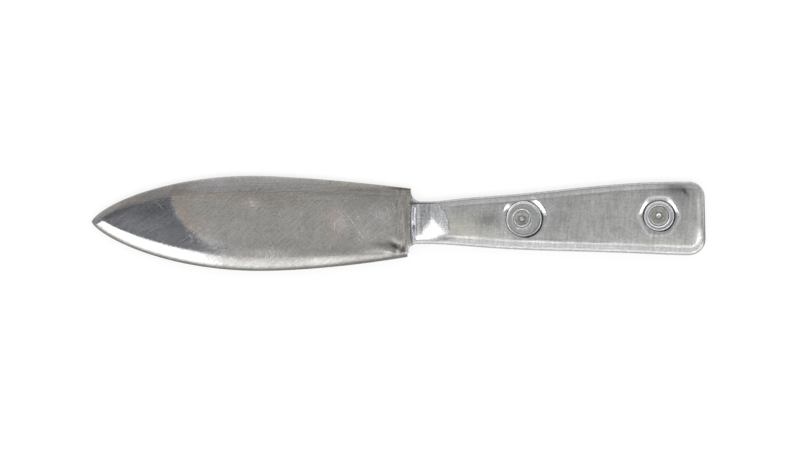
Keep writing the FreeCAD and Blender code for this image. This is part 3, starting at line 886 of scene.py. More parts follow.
@dataclass(frozen=True)
class LeafBlade:
    """The leaf-shaped blade with its full tang, as one plate.

    Attributes:
        length: From the heel to the tip.
        tip_rise: How far the tip lies above the centre line, towards the back.
        heel_bevel: Width of the bevels at the heel.
        tip_bevel: Length of the bevels before the field's own tip.
        field_rise: How much further towards the back that tip lies.
        field_half: Half the thickness of the field.
        rim_half: Half the thickness at the edges.
        tip_run: Length over which the field thins to the tip.
        tip_bend: How far the tip is bent down.
        bend_start: Where the bend starts, before the heel.
        wave: Depth of the hand-beaten waves.
        corner_drop: How far the corner of the heel on the belly is hammered down.
        front_rows: Rows of points from the tip to the widest place.
        rear_rows: Rows of points from there to the heel.
        columns: Points across the blade.
        dents: Hollows at the heel, and bulges where the share is negative, with the share in millimetres.
        warm: Heat-brown places.
        grime_and_shade: Grimy places, and painted shade: the creases at the heel's corner, a line across the
            heel, a line along the back near the heel and the bands above the belly's bevel.
        scuffs_and_sheen: Rubbed places, and a painted highlight along the belly's bevel before the heel.
        streak: End of the tip's polish, drawn out along the belly.
        lip_highlights: Painted highlights at the heel's corner on the belly, where the plate's edge catches
            the light.
        stoned: Place on the belly that was rubbed across with a stone.
        polish_end: Where the tip's polish ends near the back.
        polish_bow: How fast that end runs back towards the belly.
        back: Edge on the back.
        belly: Edge on the belly.
    """

    length: float = 103.5
    tip_rise: float = 0.45
    heel_bevel: float = 1.6
    tip_bevel: float = 3.5
    field_rise: float = 0.95
    field_half: float = 0.8
    rim_half: float = 0.25
    tip_run: float = 4.0
    tip_bend: float = 0.3
    bend_start: float = 55.0
    wave: float = 0.02
    corner_drop: float = 0.2
    front_rows: int = 180
    rear_rows: int = 170
    columns: int = 84
    dents: tuple[Patch, ...] = (
        Patch(-6.2, -9.1, 1.7, 0.8, -0.2, -14), Patch(-3.6, -8.2, 0.7, 0.9, -0.16),
        Patch(-1.9, -9.2, 0.7, 0.7, -0.1), Patch(-3.8, -6.9, 2.6, 0.8, 0.12, -34),
        Patch(-2.0, -7.6, 0.5, 1.4, 0.12), Patch(-1.0, 0.0, 0.7, 9.0, 0.06),
        Patch(-20.0, -2.0, 4.0, 1.6, 0.02, 30))
    warm: tuple[Patch, ...] = (
        Patch(-74.0, 4.0, 2.6, 6.0, 0.9, 12), Patch(-69.5, -1.0, 3.5, 4.0, 0.6),
        Patch(-66.0, 9.2, 7.0, 2.2, 0.7), Patch(-52.0, 7.6, 5.0, 2.6, 0.8),
        Patch(-38.5, 8.4, 6.0, 2.2, 0.6), Patch(-24.5, 0.5, 3.0, 5.5, 0.7),
        Patch(-50.0, -10.5, 5.0, 1.8, 0.5), Patch(-1.6, 3.0, 1.4, 9.0, 0.2))
    # Grime, and painted shade: the patches by the heel's corner, the lines across and along the heel and the
    # bands above the belly's bevel darken where shade and a dark reflection fall.
    grime_and_shade: tuple[Patch, ...] = (
        Patch(-4.6, -7.6, 2.2, 0.7, 0.75, -30), Patch(-1.9, -8.5, 0.45, 1.4, 0.6),
        Patch(-2.9, -8.9, 0.5, 0.9, 0.35), Patch(-4.9, -9.6, 0.6, 0.5, 0.6),
        Patch(-0.9, 1.0, 0.6, 8.0, 0.3), Patch(-90.0, 7.6, 13.0, 2.4, 0.3, 24),
        Patch(-58.0, 10.6, 15.0, 0.9, 0.12, 1), Patch(-46.0, 8.7, 11.0, 2.8, 0.2, -3),
        Patch(-24.0, 9.8, 20.0, 0.6, 0.2, -3), Patch(-2.6, 11.2, 4.0, 0.45, 0.8, -4),
        Patch(-97.0, 2.6, 6.0, 0.9, 0.3, 24), Patch(-83.5, 4.4, 8.0, 2.6, 0.3, 12),
        Patch(-76.0, -1.0, 4.0, 4.0, 0.12, -40), Patch(-12.0, 7.5, 8.0, 3.2, 0.14),
        Patch(-4.5, 4.0, 1.0, 6.0, 0.15), Patch(-24.0, -8.6, 10.0, 1.1, 0.2, 4),
        Patch(-9.0, -6.9, 4.2, 0.8, 0.3, -3), Patch(-48.0, -6.8, 9.0, 1.6, 0.14))
    scuffs_and_sheen: tuple[Patch, ...] = (
        Patch(-22.5, 0.3, 2.6, 4.2, 0.3, 20), Patch(-9.5, 3.2, 4.0, 2.2, 0.35, -30),
        Patch(-51.0, 6.6, 2.4, 1.4, 0.5), Patch(-66.0, -6.0, 5.0, 2.2, 0.4, -25),
        Patch(-15.0, -2.5, 2.0, 5.0, 0.25, 30), Patch(-48.0, -9.6, 9.0, 1.2, 0.35),
        # The last patch is a painted highlight along the belly's bevel before the heel.
        Patch(-9.6, -9.0, 4.5, 0.7, 0.9, 4))
    streak: Patch = Patch(-60.0, -8.1, 5.5, 1.3, 0.62, -12)
    # Painted highlights where the heel's corner on the belly catches the light.
    lip_highlights: tuple[Patch, ...] = (Patch(0.45, -7.75, 2.8, 0.7, 1.0, 45), Patch(-0.6, -9.2, 0.4, 1.6, 1.0))
    stoned: Patch = Patch(-45.0, -10.0, 9.0, 2.2, 0.55)
    polish_end: float = -77.5
    polish_bow: float = 0.05
    back: LeafEdge = LeafEdge(Side.BACK, widest=50.5, bevel=4.7, tip_round=0.7, field_round=0.06,
                              run_power=1.48, tip_roll=1.25, heel_roll=1.65, lip=0.4)
    belly: LeafEdge = LeafEdge(Side.BELLY, widest=48.5, bevel=5.2, tip_round=0.74, field_round=0.12,
                               run_power=1.75, tip_roll=1.27, heel_roll=2.0, lip=1.1)

    def _half_height(self, flat: Array, face: Face = Face.FRONT) -> Array:
        """Return how far a face lies from the middle of the plate.

        Args:
            flat: Flat points.
            face: The face; only the front is beaten and dented.

        Returns:
            A height for each point.
        """
        x, y = flat.T
        heights = []
        for edge in (self.back, self.belly):
            outer = edge.line(self, 0.0, 400, 400)
            field_line = edge.line(self, 1.0, 400, 400)
            edge_y = np.interp(x, *outer.T)
            field_y = np.interp(x, *field_line.T)
            slope = np.interp(x, outer[:, 0], np.gradient(outer[:, 1], outer[:, 0]))
            away = edge.side * (edge_y - y)
            deep = np.clip(away / np.sqrt(1 + slope**2) / edge.lip, 0, 1)
            share = away / np.maximum(edge.side * (edge_y - field_y), 0.02)
            share = np.clip(np.minimum(share, (x + self.length) / self.tip_run + 0.02), 0, 1)
            lip = self.rim_half * np.sqrt(np.maximum(0, 1 - (1 - deep) ** 2))
            roll = edge.tip_roll + (edge.heel_roll - edge.tip_roll) * smooth_step(x, -85.0, -45.0)
            heights.append(lip + (self.field_half - self.rim_half) * (1 - (1 - share) ** roll))
        height = soft_min(heights[0], heights[1], 0.03)
        if face is Face.FRONT:
            calm = smooth_step(height, 0.3, 0.8)
            height = height + calm * self.wave * (
                np.sin(x * 0.21 + 0.6 * np.sin(y * 0.31)) + 0.6 * np.sin(y * 0.37 + x * 0.09 + 1.3)
                + 0.5 * np.sin(x * 0.47 - y * 0.22 + 2.1))
            corner = smooth_step(x - 0.052 * y, -0.5, 0.0) * smooth_step(-y, 4.5, 7.0)
            height = height - calm * patched(self.dents, x, y) - calm * self.corner_drop * corner
        return height

    def _bend(self, x: Array) -> Array:
        """Return how far the plate drops towards its tip, as a negative height."""
        past = np.maximum(0, -x - self.bend_start) / (self.length - self.bend_start)
        return -self.tip_bend * past**2

    def _leaf(self, draft: Draft) -> None:
        """Draw the leaf as two skins that meet along its edges."""
        back, belly = (edge.line(self, 0.0, self.front_rows, self.rear_rows)
                       for edge in (self.back, self.belly))
        even = np.linspace(0, 1, self.columns)
        across = (0.3 * even + 0.7 * (0.5 - 0.5 * np.cos(math.pi * even)))[None, :, None]
        flat = (belly[1:, None] * (1 - across) + back[1:, None] * across).reshape(-1, 2)
        tip = draft.lift(back[:1], MIDDLE_Z + self._bend(back[:1, 0]))
        skins = []
        for face in Face:
            height = MIDDLE_Z + self._bend(flat[:, 0]) + face * self._half_height(flat, face)
            grid = draft.lift(flat, height).reshape(-1, self.columns)
            skins.append(grid)
            for j in range(self.columns - 1):
                draft.faces.append((tip[0], grid[0, j], grid[0, j + 1]))
            for first, second in zip(grid, grid[1:]):
                draft.strip(first, second, closed=False)
        draft.strip(skins[0][-1], skins[1][-1], closed=False)

    def _burr(self, draft: Draft, scratch: Scratch) -> None:
        """Draw the fine burr that a scratch leaves along its edge, sunk into the front of the leaf."""
        line, width = scratch.run()
        floor = MIDDLE_Z + self._bend(line[:, 0]) + self._half_height(line)
        rows = []
        for across, rise in ((-1.0, -0.12), (0.0, 0.26), (1.0, -0.12)):
            rows.append(draft.lift(line + right_of(line) * (across * width)[:, None], floor + rise * width))
        for first, second in zip(rows, rows[1:] + rows[:1]):
            draft.strip(first, second, closed=False)
        for end in (0, -1):
            draft.faces.append(tuple(row[end] for row in rows))

    def build(self) -> Object:
        """Build the blade with its scratches and its tang, and return the finished piece."""
        draft = Draft()
        self._leaf(draft)
        chance = np.random.default_rng(5)
        for scratch in (*SCRATCHES, *(nick for cluster in NICK_CLUSTERS for nick in cluster.strew(chance))):
            self._burr(draft, scratch)
        Tang().draw(draft)
        piece = draft.make("blade_and_tang")
        self._mask(piece)
        piece.data.materials.append(BLADE_STEEL.build())
        LOG.info("blade and tang: %d points", len(piece.data.vertices))
        return piece

    def _above_field(self, x: Array, y: Array) -> Array:
        """Return where the back's bevel lies, from 0 to 1."""
        return smooth_step(y - np.interp(x, *self.back.line(self, 1.0, 200, 200).T), -0.4, 0.5)

    def _polish(self, x: Array, y: Array) -> Array:
        """Return how polished the blade is: at its tip, up to a bowed and ragged end, and along the belly.

        Args:
            x: Places along the knife.
            y: Places across it.

        Returns:
            A share for each place.
        """
        down = np.maximum(0, 9.2 - y)
        end = self.polish_end + self.polish_bow * down**2 + 0.25 * np.sin(y * 1.7)
        tip = 1 - smooth_step((x - end) / (0.8 + 0.12 * down), -1.0, 1.0)
        tip = tip * (1 - 0.8 * smooth_step(x, -70, -56)) * (1 - 0.75 * self._above_field(x, y))
        field_x, field_y = self.belly.line(self, 1.0, 200, 200).T
        bevel = smooth_step(-y - np.interp(x, field_x, -field_y), -0.8, 1.2)
        bevel = bevel * (1 - 0.6 * smooth_step(x, -76, -57)) * (1 - smooth_step(x, -35, -8))
        return np.maximum.reduce([tip, self.streak.at(x, y), 0.8 * bevel])

    def _mask(self, piece: Object) -> None:
        """Store where the plate is polished, worn, heat-brown, grimy, filed across and drawn along, with
        painted highlights at the heel's corner and painted shade along the belly's rim, across the tang's
        root, in the crevice by the neck and at the butt's end.
        """
        x, y, z = place_values(piece).T
        flat = np.column_stack([x, y])
        front = z > MIDDLE_Z
        tang = smooth_step(x, 0.6, 1.4)
        leaf = (1 - tang) * front
        rim = 1 - smooth_step(distance_to(flat, self.belly.line(self, 0.0, 90, 60), closed=False), 0.4, 1.8)
        # Painted highlight at the heel's corner on the belly, laid as polish and wear.
        lip = np.maximum.reduce([patch.at(x, y) for patch in self.lip_highlights])
        surface = MIDDLE_Z + self._bend(x) + self._half_height(flat)
        burr = (np.abs(z - surface) > 0.002) * (z > MIDDLE_Z + 0.3) * (x < -1.5)
        store(piece, "polish", self._polish(x, y) * (1 - rim), 0.25 * tang, 0.55 * lip, 0.9 * burr)
        above = self._above_field(x, y)
        rubbed = 0.6 * above * smooth_step(x, -76, -66) * (1 - smooth_step(x, -48, -12))
        store(piece, "worn", tang, lip, (patched(self.scuffs_and_sheen, x, y) + rubbed) * leaf)
        store(piece, "warm", (patched(self.warm, x, y) + 0.3 * above) * leaf)
        # Painted shade: dark lines in the gap across the tang's root, in the crevice along the neck on the
        # back and at the butt's end, and a darker rim along the belly's edge.
        gap = 0.85 * near(x, ragged(y, 0.36, 0.013), 0.2) * (np.abs(y) < 7.2) * front
        crevice = 0.9 * near(y, 6.45, 0.26 + 0.3 * np.exp(-np.abs(x - 0.6) / 2.0))
        crevice = crevice * (x > 0.3) * (1 - smooth_step(x, 11.5, 14.0)) * front
        butt = 0.7 * near(x, 96.0, 0.3) * front
        store(piece, "dirt_and_shade", (patched(self.grime_and_shade, x, y) + 0.34 * rim) * leaf, gap, crevice, butt)
        store(piece, "filed", smooth_step(x, -6.5, -2.5) * leaf, self.stoned.at(x, y) * leaf)
        store(piece, "drawn", smooth_step(y, 4.5, 9.0) * leaf)


@dataclass(frozen=True)
class Grip:
    """The outline that the tang and the scales share, from the neck to the butt.

    Attributes:
        length: From the heel to the butt.
        neck: Where the straight neck ends.
        places: Places between the neck and the butt's corners where the outline's reach is given.
        reach: Reach at the neck, at these places and at the corner, for each side.
        corner_radius: Radius of the butt's corner on each side.
        lean: Lean of the butt's straight part, in degrees.
    """

    length: float = 96.5
    neck: float = 6.5
    places: tuple[float, ...] = (14.9, 29.6255, 55.584, 79.9985)
    reach: dict[Side, tuple[float, ...]] = field(default_factory=lambda: {
        Side.BACK: (7.15, 7.9, 9.1, 11.65, 13.45, 13.6), Side.BELLY: (6.75, 7.15, 8.25, 9.2, 10.05, 10.4)})
    corner_radius: dict[Side, float] = field(default_factory=lambda: {Side.BACK: 5.0, Side.BELLY: 5.5})
    lean: float = 1.6

    def corner(self, side: Side) -> tuple[float, float, float]:
        """Return the centre and the radius of one corner of the butt."""
        radius = self.corner_radius[side]
        y = side * (self.reach[side][-1] - radius)
        if side is Side.BELLY:
            return self.length - radius, y, radius
        belly_x, belly_y, belly_radius = self.corner(Side.BELLY)
        lean = math.radians(self.lean)
        forward = (belly_radius - radius - (y - belly_y) * math.sin(lean)) / math.cos(lean)
        return belly_x + forward, y, radius

    def edge(self, side: Side, start: float, count: int) -> Array:
        """Return one long edge from a place behind the heel to the butt's corner."""
        reach = self.reach[side]
        corner_x = self.corner(side)[0]
        curve = clamped_curve([self.neck, *self.places, corner_x], reach, 0.0, 0.0)
        x = np.linspace(start, corner_x, count)
        return np.column_stack([x, side * np.where(x < self.neck, reach[0], curve(np.maximum(x, self.neck)))])

    def end(self, count: int) -> Array:
        """Return the rounded butt, from the back's corner to the belly's."""
        rows = []
        for side, first, last in ((Side.BACK, 90.0, self.lean), (Side.BELLY, self.lean, -90.0)):
            x, y, radius = self.corner(side)
            angle = np.radians(np.linspace(first, last, count))
            rows.append(np.column_stack([x + radius * np.cos(angle), y + radius * np.sin(angle)]))
        link = np.linspace(rows[0][-1], rows[1][0], 14)[1:-1]
        return np.vstack([rows[0], link, rows[1]])


@dataclass(frozen=True)
class Tang:
    """The full tang with its rounded edge and its flares into the heel.

    Attributes:
        thickness: Thickness of the plate here.
        rounding: Radius of its edge.
        flare: Radius of the concave flare at the heel, on each side.
        root: Where the tang starts inside the blade, behind the heel.
        steps: Rows of faces round the edge.
        root_sink: How much lower the front lies at the root.
        groove_sink: Depth of the ragged groove across the root.
        holes: Middle and radius of the hole for each rivet's tube.
        grip: Outline behind the neck.
    """

    thickness: float = 2.0
    rounding: float = 0.75
    flare: dict[Side, float] = field(default_factory=lambda: {Side.BACK: 3.4, Side.BELLY: 3.0})
    root: float = -1.6
    steps: int = 7
    root_sink: float = 0.22
    groove_sink: float = 0.12
    holes: tuple[tuple[float, float, float], ...] = ((36.5, 1.5, 3.75), (80.9, 2.45, 4.2))
    grip: Grip = field(default_factory=Grip)

    def outline(self) -> Array:
        """Return the tang's outline, starting at its root in the blade."""
        parts = []
        for side, radius in self.flare.items():
            reach = self.grip.reach[side][0]
            height = reach + radius
            heel_x = side * HEEL_LEAN * height / HEEL_REACH[side]
            angle = np.radians(180 + side * np.linspace(0, 90, 18))
            flare = np.column_stack([heel_x + radius + radius * np.cos(angle),
                                     side * height + radius * np.sin(angle)])
            edge = self.grip.edge(side, heel_x + radius + 0.3, 190)
            root = np.array([[self.root, side * reach], [self.root * 0.5, side * height]])
            parts.append(np.vstack([root, flare, edge]))
        butt = self.grip.end(16)[1:-1]
        root_line = np.linspace(parts[1][0], parts[0][0], 12)[1:-1]
        return np.vstack([parts[0], butt, parts[1][::-1], root_line])

    def _sink(self, flat: Array, face: Face) -> Array:
        """Return how far a face lies below its full height, which only the front does, at the root."""
        x, y = flat.T
        ramp = 1 - smooth_step(x, 0.2, 1.6)
        groove = near(x, ragged(y, 0.4, 0.0125), 0.22)
        return (face is Face.FRONT) * (self.root_sink * ramp + self.groove_sink * groove)

    def draw(self, draft: Draft) -> None:
        """Draw the tang into the blade's mesh, which is the draft's."""
        ring = self.outline()
        normals = outline_normals(ring)
        half = self.thickness / 2
        circles = [ring_of((x, y), radius, 64) for x, y, radius in self.holes]
        for face in Face:
            previous = draft.lift(ring, MIDDLE_Z)
            for angle in np.linspace(0, math.pi / 2, self.steps + 1):
                moved = ring - normals * self.rounding * (1 - math.cos(angle))
                level = MIDDLE_Z + face * (half - self.rounding + self.rounding * math.sin(angle))
                current = draft.lift(moved, level - self._sink(moved, face) * math.sin(angle))
                draft.strip(previous, current)
                previous = current
            self._fill(draft, moved, circles, face)
        for circle in circles:
            draft.strip(draft.lift(circle, MIDDLE_Z + half), draft.lift(circle, MIDDLE_Z - half))

    def _fill(self, draft: Draft, ring: Array, circles: list[Array], face: Face) -> None:
        """Close one face of the tang round its holes, with a fine mesh at the neck of the front.

        Args:
            draft: Mesh that takes it.
            ring: Outline of the face.
            circles: Outlines of its holes.
            face: The face.
        """
        free = grid_of((-1.2, -10.5), (9.0, 10.5), (0.22, 0.3))
        free = free[inside(free, ring)]
        free = free[(distance_to(free, ring) > 0.12) * (face is Face.FRONT)]
        flat = FlatMesh.join([ring, *circles], [free])
        height = MIDDLE_Z + face * self.thickness / 2 - self._sink(flat.points, face)
        draft.fill(draft.lift(flat.points, height), flat.triangles[flat.within(ring, circles)])


# ----------------------------------------
# Scales


@dataclass(frozen=True)
class Seat:
    """A seat pressed into a scale for a rivet's head, with the bruised dish round it.

    Attributes:
        x: Middle of the head behind the heel.
        y: Middle of the head above the centre line.
        radius: Edge of the seat.
        tube_x: Middle of the tube behind the heel.
        tube: Radius of the hole for the tube.
        dish: Mean radius of the bruised dish.
        corners: How many flats the dish has, or 0 for uneven crescents.
        calm: Share of the depth between the blows.
        blows: Directions of the blows that struck the dish, and half the width of each, in radians.
        gapes: Directions where the seat gapes round the head, and half the width of each, in radians.
        depth: Depth of the dish at the seat's edge.
        hug: How much closer to the head the seat's edge lies where it doesn't gape.
        flatness: How straight the dish's flats are, from 0 for a circle to 1.
    """

    x: float
    y: float
    radius: float
    tube_x: float
    tube: float
    dish: float
    corners: int
    calm: float
    blows: tuple[tuple[float, float], ...]
    gapes: tuple[tuple[float, float], ...]
    depth: float = 0.22
    hug: float = 0.28
    flatness: float = 0.55

    def away(self, flat: Array) -> Array:
        """Return how far flat points lie from the head's middle."""
        return np.linalg.norm(flat - [self.x, self.y], axis=1)

    def _turn(self, flat: Array) -> Array:
        """Return in which direction from the head's middle flat points lie, in radians."""
        return np.arctan2(flat[:, 1] - self.y, flat[:, 0] - self.x)

    def edge(self, count: int) -> Array:
        """Return the seat's uneven edge, which lies close to the head but where it gapes."""
        ring = ring_of((self.x, self.y), self.radius, count)
        inward = (ring - [self.x, self.y]) / self.radius
        return ring - inward * self.hug * (1 - self.gape(ring))[:, None]

    def gape(self, flat: Array) -> Array:
        """Return where the seat stands open round the head, from 0 to 1."""
        turn = self._turn(flat)
        return np.maximum.reduce([near((turn - middle + math.pi) % (2 * math.pi), math.pi, half, 4)
                                  for middle, half in self.gapes])

    def _brim(self, flat: Array) -> Array:
        """Return how far from the middle the dish's outline lies in the direction of flat points."""
        turn = self._turn(flat)
        if self.corners:
            sector = 2 * math.pi / self.corners
            straight = 1 / np.cos(turn % sector - sector / 2)
            return self.dish * (1 - self.flatness + self.flatness * straight)
        return self.dish + 0.1 * np.sin(turn * 5 + 1) + 0.06 * np.sin(turn * 9)

    def sink(self, flat: Array) -> Array:
        """Return how deep the dish is at flat points."""
        edge = self._brim(flat)
        share = np.clip((edge - self.away(flat)) / (edge - self.radius), 0, 1)
        return self.depth * (self.calm + (1 - self.calm) * self.struck(flat)) * share

    def brim(self, flat: Array) -> Array:
        """Return where the dish's outline is painted lighter, a painted highlight along its edge, from 0 to
        1.
        """
        return self.calm * near(self.away(flat), self._brim(flat), 0.4)

    def struck(self, flat: Array) -> Array:
        """Return where the tool struck the dish deep, from 0 to 1; on the front scale these places are also
        polished lighter, partly a painted highlight.
        """
        turn = self._turn(flat)
        shares = [near(turn, middle, half, 4) for middle, half in self.blows]
        within = 1 - smooth_step(self.away(flat), self.dish + 0.2, self.dish + 0.7)
        return np.maximum.reduce(shares) * within


@dataclass(frozen=True)
class Scale:
    """A pressed aluminium scale with rounded shoulders, a scooped neck and two seats.

    Attributes:
        face: Face of the knife that it lies on. The front one is scooped further, worn and grimy, with
            painted shade and highlights.
        scoop_start: Start of the neck's scoop behind the heel.
        scoop_end: End of the scoop behind the heel.
        setback: How far its foot lies inside the tang's outline.
        shift: How much more on the back and less on the belly.
        shoulder: Height of the rounded shoulder.
        roll: Width of the shoulder.
        wall: Height of the upright wall below the shoulder.
        sheet: Thickness of the sheet.
        height: Height of the pressing.
        nose: Start of the scale behind the heel.
        nose_height: Height of the front edge there.
        crown: How much lower the flat face lies next to the shoulders.
        crown_width: Width over which it falls.
        facet_peak: Peak of the ridge above the thumb-worn facet of the neck.
        facet_run: How fast the ridge falls before and behind its peak.
        facet_tilt: Tilt of the facet.
        facet_bend: Softness of the ridge.
        warm: Yellowish places.
        grime_and_shade: Grimy places, and painted shade: dark lines along the belly's shoulder, across the
            nose and at the butt's end, and patches below the neck.
        corner_wear_and_sheen: Worn place at the butt's corner on the belly, polished and painted lighter as a
            highlight.
        throat: Where the hollow inside the pressing starts.
        insets: Distances from the foot of the rows of points over the shoulder.
        spacing: Distance between the points of the flat face.
        fine_end: Where the finer points of the neck end.
        dents: Middle, radius and depth of each hand-worn hollow.
        seats: Seats of the two rivets' heads.
        grip: Outline that the foot follows.
    """

    face: Face
    scoop_start: float
    scoop_end: float
    setback: float = 1.0
    shift: float = 0.2
    shoulder: float = 1.7
    roll: float = 1.9
    wall: float = 0.5
    sheet: float = 0.8
    height: float = 2.2
    nose: float = 2.3
    nose_height: float = 0.6
    crown: float = 0.16
    crown_width: float = 6.5
    facet_peak: tuple[float, float] = (7.4, 1.9)
    facet_run: tuple[float, float] = (1.37, 1.3)
    facet_tilt: float = 0.075
    facet_bend: float = 1.1
    warm: tuple[Patch, ...] = (Patch(17.0, -1.5, 5.0, 4.0, 0.6), Patch(24.0, -4.5, 6.0, 2.0, 0.3),
                               Patch(84.0, -6.0, 10.0, 1.5, 0.3))
    # The smudges by the butt are grime; the patches below the neck and the thin lines across the nose, along
    # the belly's shoulder and at the butt's end are painted shade.
    grime_and_shade: tuple[Patch, ...] = (
        Patch(86.4, 11.4, 4.6, 1.7, 0.6), Patch(89.6, 10.0, 1.7, 0.6, 0.7, -50),
        Patch(87.0, 9.0, 4.0, 2.2, 0.25), Patch(25.6, 1.2, 4.2, 1.6, 0.4), Patch(87.8, 3.5, 2.2, 6.0, 0.2),
        Patch(77.0, 5.0, 2.5, 6.0, 0.15), Patch(50.0, 1.0, 3.0, 5.0, 0.15), Patch(3.9, 1.0, 0.3, 5.0, 0.4),
        Patch(10.4, -4.8, 3.4, 1.0, 0.7, 4), Patch(5.2, -5.6, 2.4, 0.35, 0.5, -6),
        Patch(11.6, 1.5, 1.0, 4.0, 0.2), Patch(95.2, 3.5, 0.3, 7.0, 0.4), Patch(78.0, -7.9, 6.0, 0.9, 0.12),
        Patch(60.0, -6.1, 5.5, 0.35, 0.4, -2), Patch(47.0, -5.6, 5.0, 0.35, 0.4, -3),
        Patch(26.0, -5.2, 7.0, 0.3, 0.35, -3), Patch(74.0, -6.9, 8.0, 0.35, 0.25, -2))
    # Polished wear, also painted lighter as a highlight where the corner catches the light.
    corner_wear_and_sheen: Patch = Patch(95.0, -4.6, 1.7, 2.8, 1.0, -10)
    throat: float = 14.9
    insets: tuple[float, ...] = (0.02, 0.07, 0.15, 0.27, 0.42, 0.6, 0.85, 1.15, 1.5, 1.9, 2.35, 2.85)
    spacing: float = 0.62
    fine_end: float = 17.0
    dents: tuple[tuple[float, float, float, float], ...] = (
        (52.5, 9.0, 3.2, 0.10), (66.0, -5.5, 5.0, 0.03), (24.0, 2.0, 3.0, 0.03), (90.5, 9.0, 2.4, 0.05),
        (61.0, 3.0, 6.0, 0.03), (30.0, -4.0, 2.5, 0.02), (75.0, 6.5, 3.5, 0.03), (96.8, -7.0, 3.4, 0.45))
    seats: tuple[Seat, ...] = (
        Seat(37.25, 1.43, radius=6.3, tube_x=36.5, tube=3.75, dish=7.35, corners=0, calm=0.1,
             blows=((0.55, 0.62), (2.62, 0.22)), gapes=((-0.9, 0.75), (0.1, 0.35))),
        Seat(81.0, 2.45, radius=5.4, tube_x=80.9, tube=4.2, dish=6.28, corners=6, calm=0.45,
             blows=((0.5, 0.55), (2.68, 0.45)), gapes=((0.1, 0.85), (2.95, 0.75), (-0.95, 0.5))))
    grip: Grip = field(default_factory=Grip)

    @property
    def front(self) -> bool:
        """Tell whether this is the front scale."""
        return self.face is Face.FRONT

    def _at(self, height: float | Array) -> float | Array:
        """Return where a height above the tang's face lies on the knife."""
        return TANG_TOP + height if self.front else TANG_BOTTOM - height

    def _side_line(self) -> Array:
        """Return the scale's foot along both sides and round the butt, as an open line."""
        back, belly = (self.grip.edge(side, self.nose, 190) for side in Side)
        line = np.vstack([back, self.grip.end(16)[1:-1], belly[::-1]])
        inward = right_of(line)
        return line + inward * (self.setback + self.shift * inward[:, 1:])

    def _inset(self, inset: float) -> Array:
        """Return the foot's line moved in, with its ends on the nose."""
        line = self._side_line()
        moved = line + right_of(line) * inset
        moved[[0, -1], 0] = self.nose
        return moved

    def _neck_facet(self, x: Array, y: Array) -> Array:
        """Return how the thumb's wear tilts the lower neck towards the belly, below a ridge with one peak."""
        away = x - self.facet_peak[0]
        ridge = self.facet_peak[1] - np.where(away < 0, self.facet_run[0], self.facet_run[1]) * np.abs(away)
        below = ridge - y
        bent = 0.5 * (below + np.sqrt(below**2 + self.facet_bend**2))
        return 0.1 - self.facet_tilt * bent * (1 - smooth_step(x, 12.5, 15.5))

    def _scoop(self, x: Array) -> Array:
        """Return the height of the neck's scoop, a circle's arc that rises from the nose to the flat face."""
        rise = self.height - self.nose_height
        run = self.scoop_end - self.scoop_start
        radius = (run**2 + rise**2) / (2 * rise)
        past = np.clip(x - self.scoop_start, 0, radius * 0.96)
        return self.nose_height + radius - np.sqrt(radius**2 - past**2)

    def _top(self, flat: Array) -> Array:
        """Return the height of the outer face above the tang at flat points.

        Args:
            flat: Flat points.

        Returns:
            A height for each point.
        """
        x, y = flat.T
        away = distance_to(flat, self._side_line(), closed=False)
        bend = np.clip(1 - away / self.roll, 0, 1)
        slab = self.wall + self.shoulder * np.sqrt(np.maximum(0, 1 - bend**2))
        fall = np.clip(1 - away / self.crown_width, 0, 1) ** 2
        slab = slab - self.crown * fall * (1 - 0.8 * smooth_step(y, -1.0, 4.0))
        scoop = self._scoop(x)
        if self.front:
            scoop = scoop + self._neck_facet(x, y) - 0.28 * (1 - smooth_step(x, self.nose, self.nose + 1.5))
            scoop = scoop - 0.2 * np.clip(1 - away / 1.7, 0, 1) ** 2 * (y < 0)
        top = soft_min(slab, np.where(x > self.scoop_end + 3, 9.0, scoop), 0.1)
        for seat in self.seats:
            top = top - seat.sink(flat) * (1.0 if self.front else 0.5)
        for dent_x, dent_y, size, depth in self.dents if self.front else ():
            top = top - depth * near(x, dent_x, size) * near(y, dent_y, size)
        return np.maximum(top, 0.05)

    def build(self) -> Object:
        """Build the scale's outer skin, its seats and its hollow, and return the finished piece."""
        draft = Draft()
        line = self._side_line()
        foot = np.vstack([line, np.linspace(line[-1], line[0], 40)[1:-1]])
        edges = [seat.edge(96) for seat in self.seats]
        skin = FlatMesh.join([foot, *edges], self._free_points(foot))
        numbers = draft.lift(skin.points, self._at(self._top(skin.points)))
        draft.fill(numbers, skin.triangles[skin.within(foot, edges)])
        draft.strip(numbers[skin.loops[0]], draft.lift(foot, self._at(0.0)))
        for seat, edge, loop in zip(self.seats, edges, skin.loops[1:]):
            hole = ring_of((seat.tube_x, seat.y), seat.tube, 96)
            floor = self._at(self.sheet)
            rows = (numbers[loop], draft.lift(edge, floor), draft.lift(hole, floor),
                    draft.lift(hole, self._at(0.0)))
            for first, second in zip(rows, rows[1:]):
                draft.strip(first, second)
        self._underside(draft, foot)
        piece = draft.make("front_scale_pressing" if self.front else "back_scale_pressing")
        self._mask(piece)
        LOG.info("%s: %d points", piece.name, len(piece.data.vertices))
        return piece

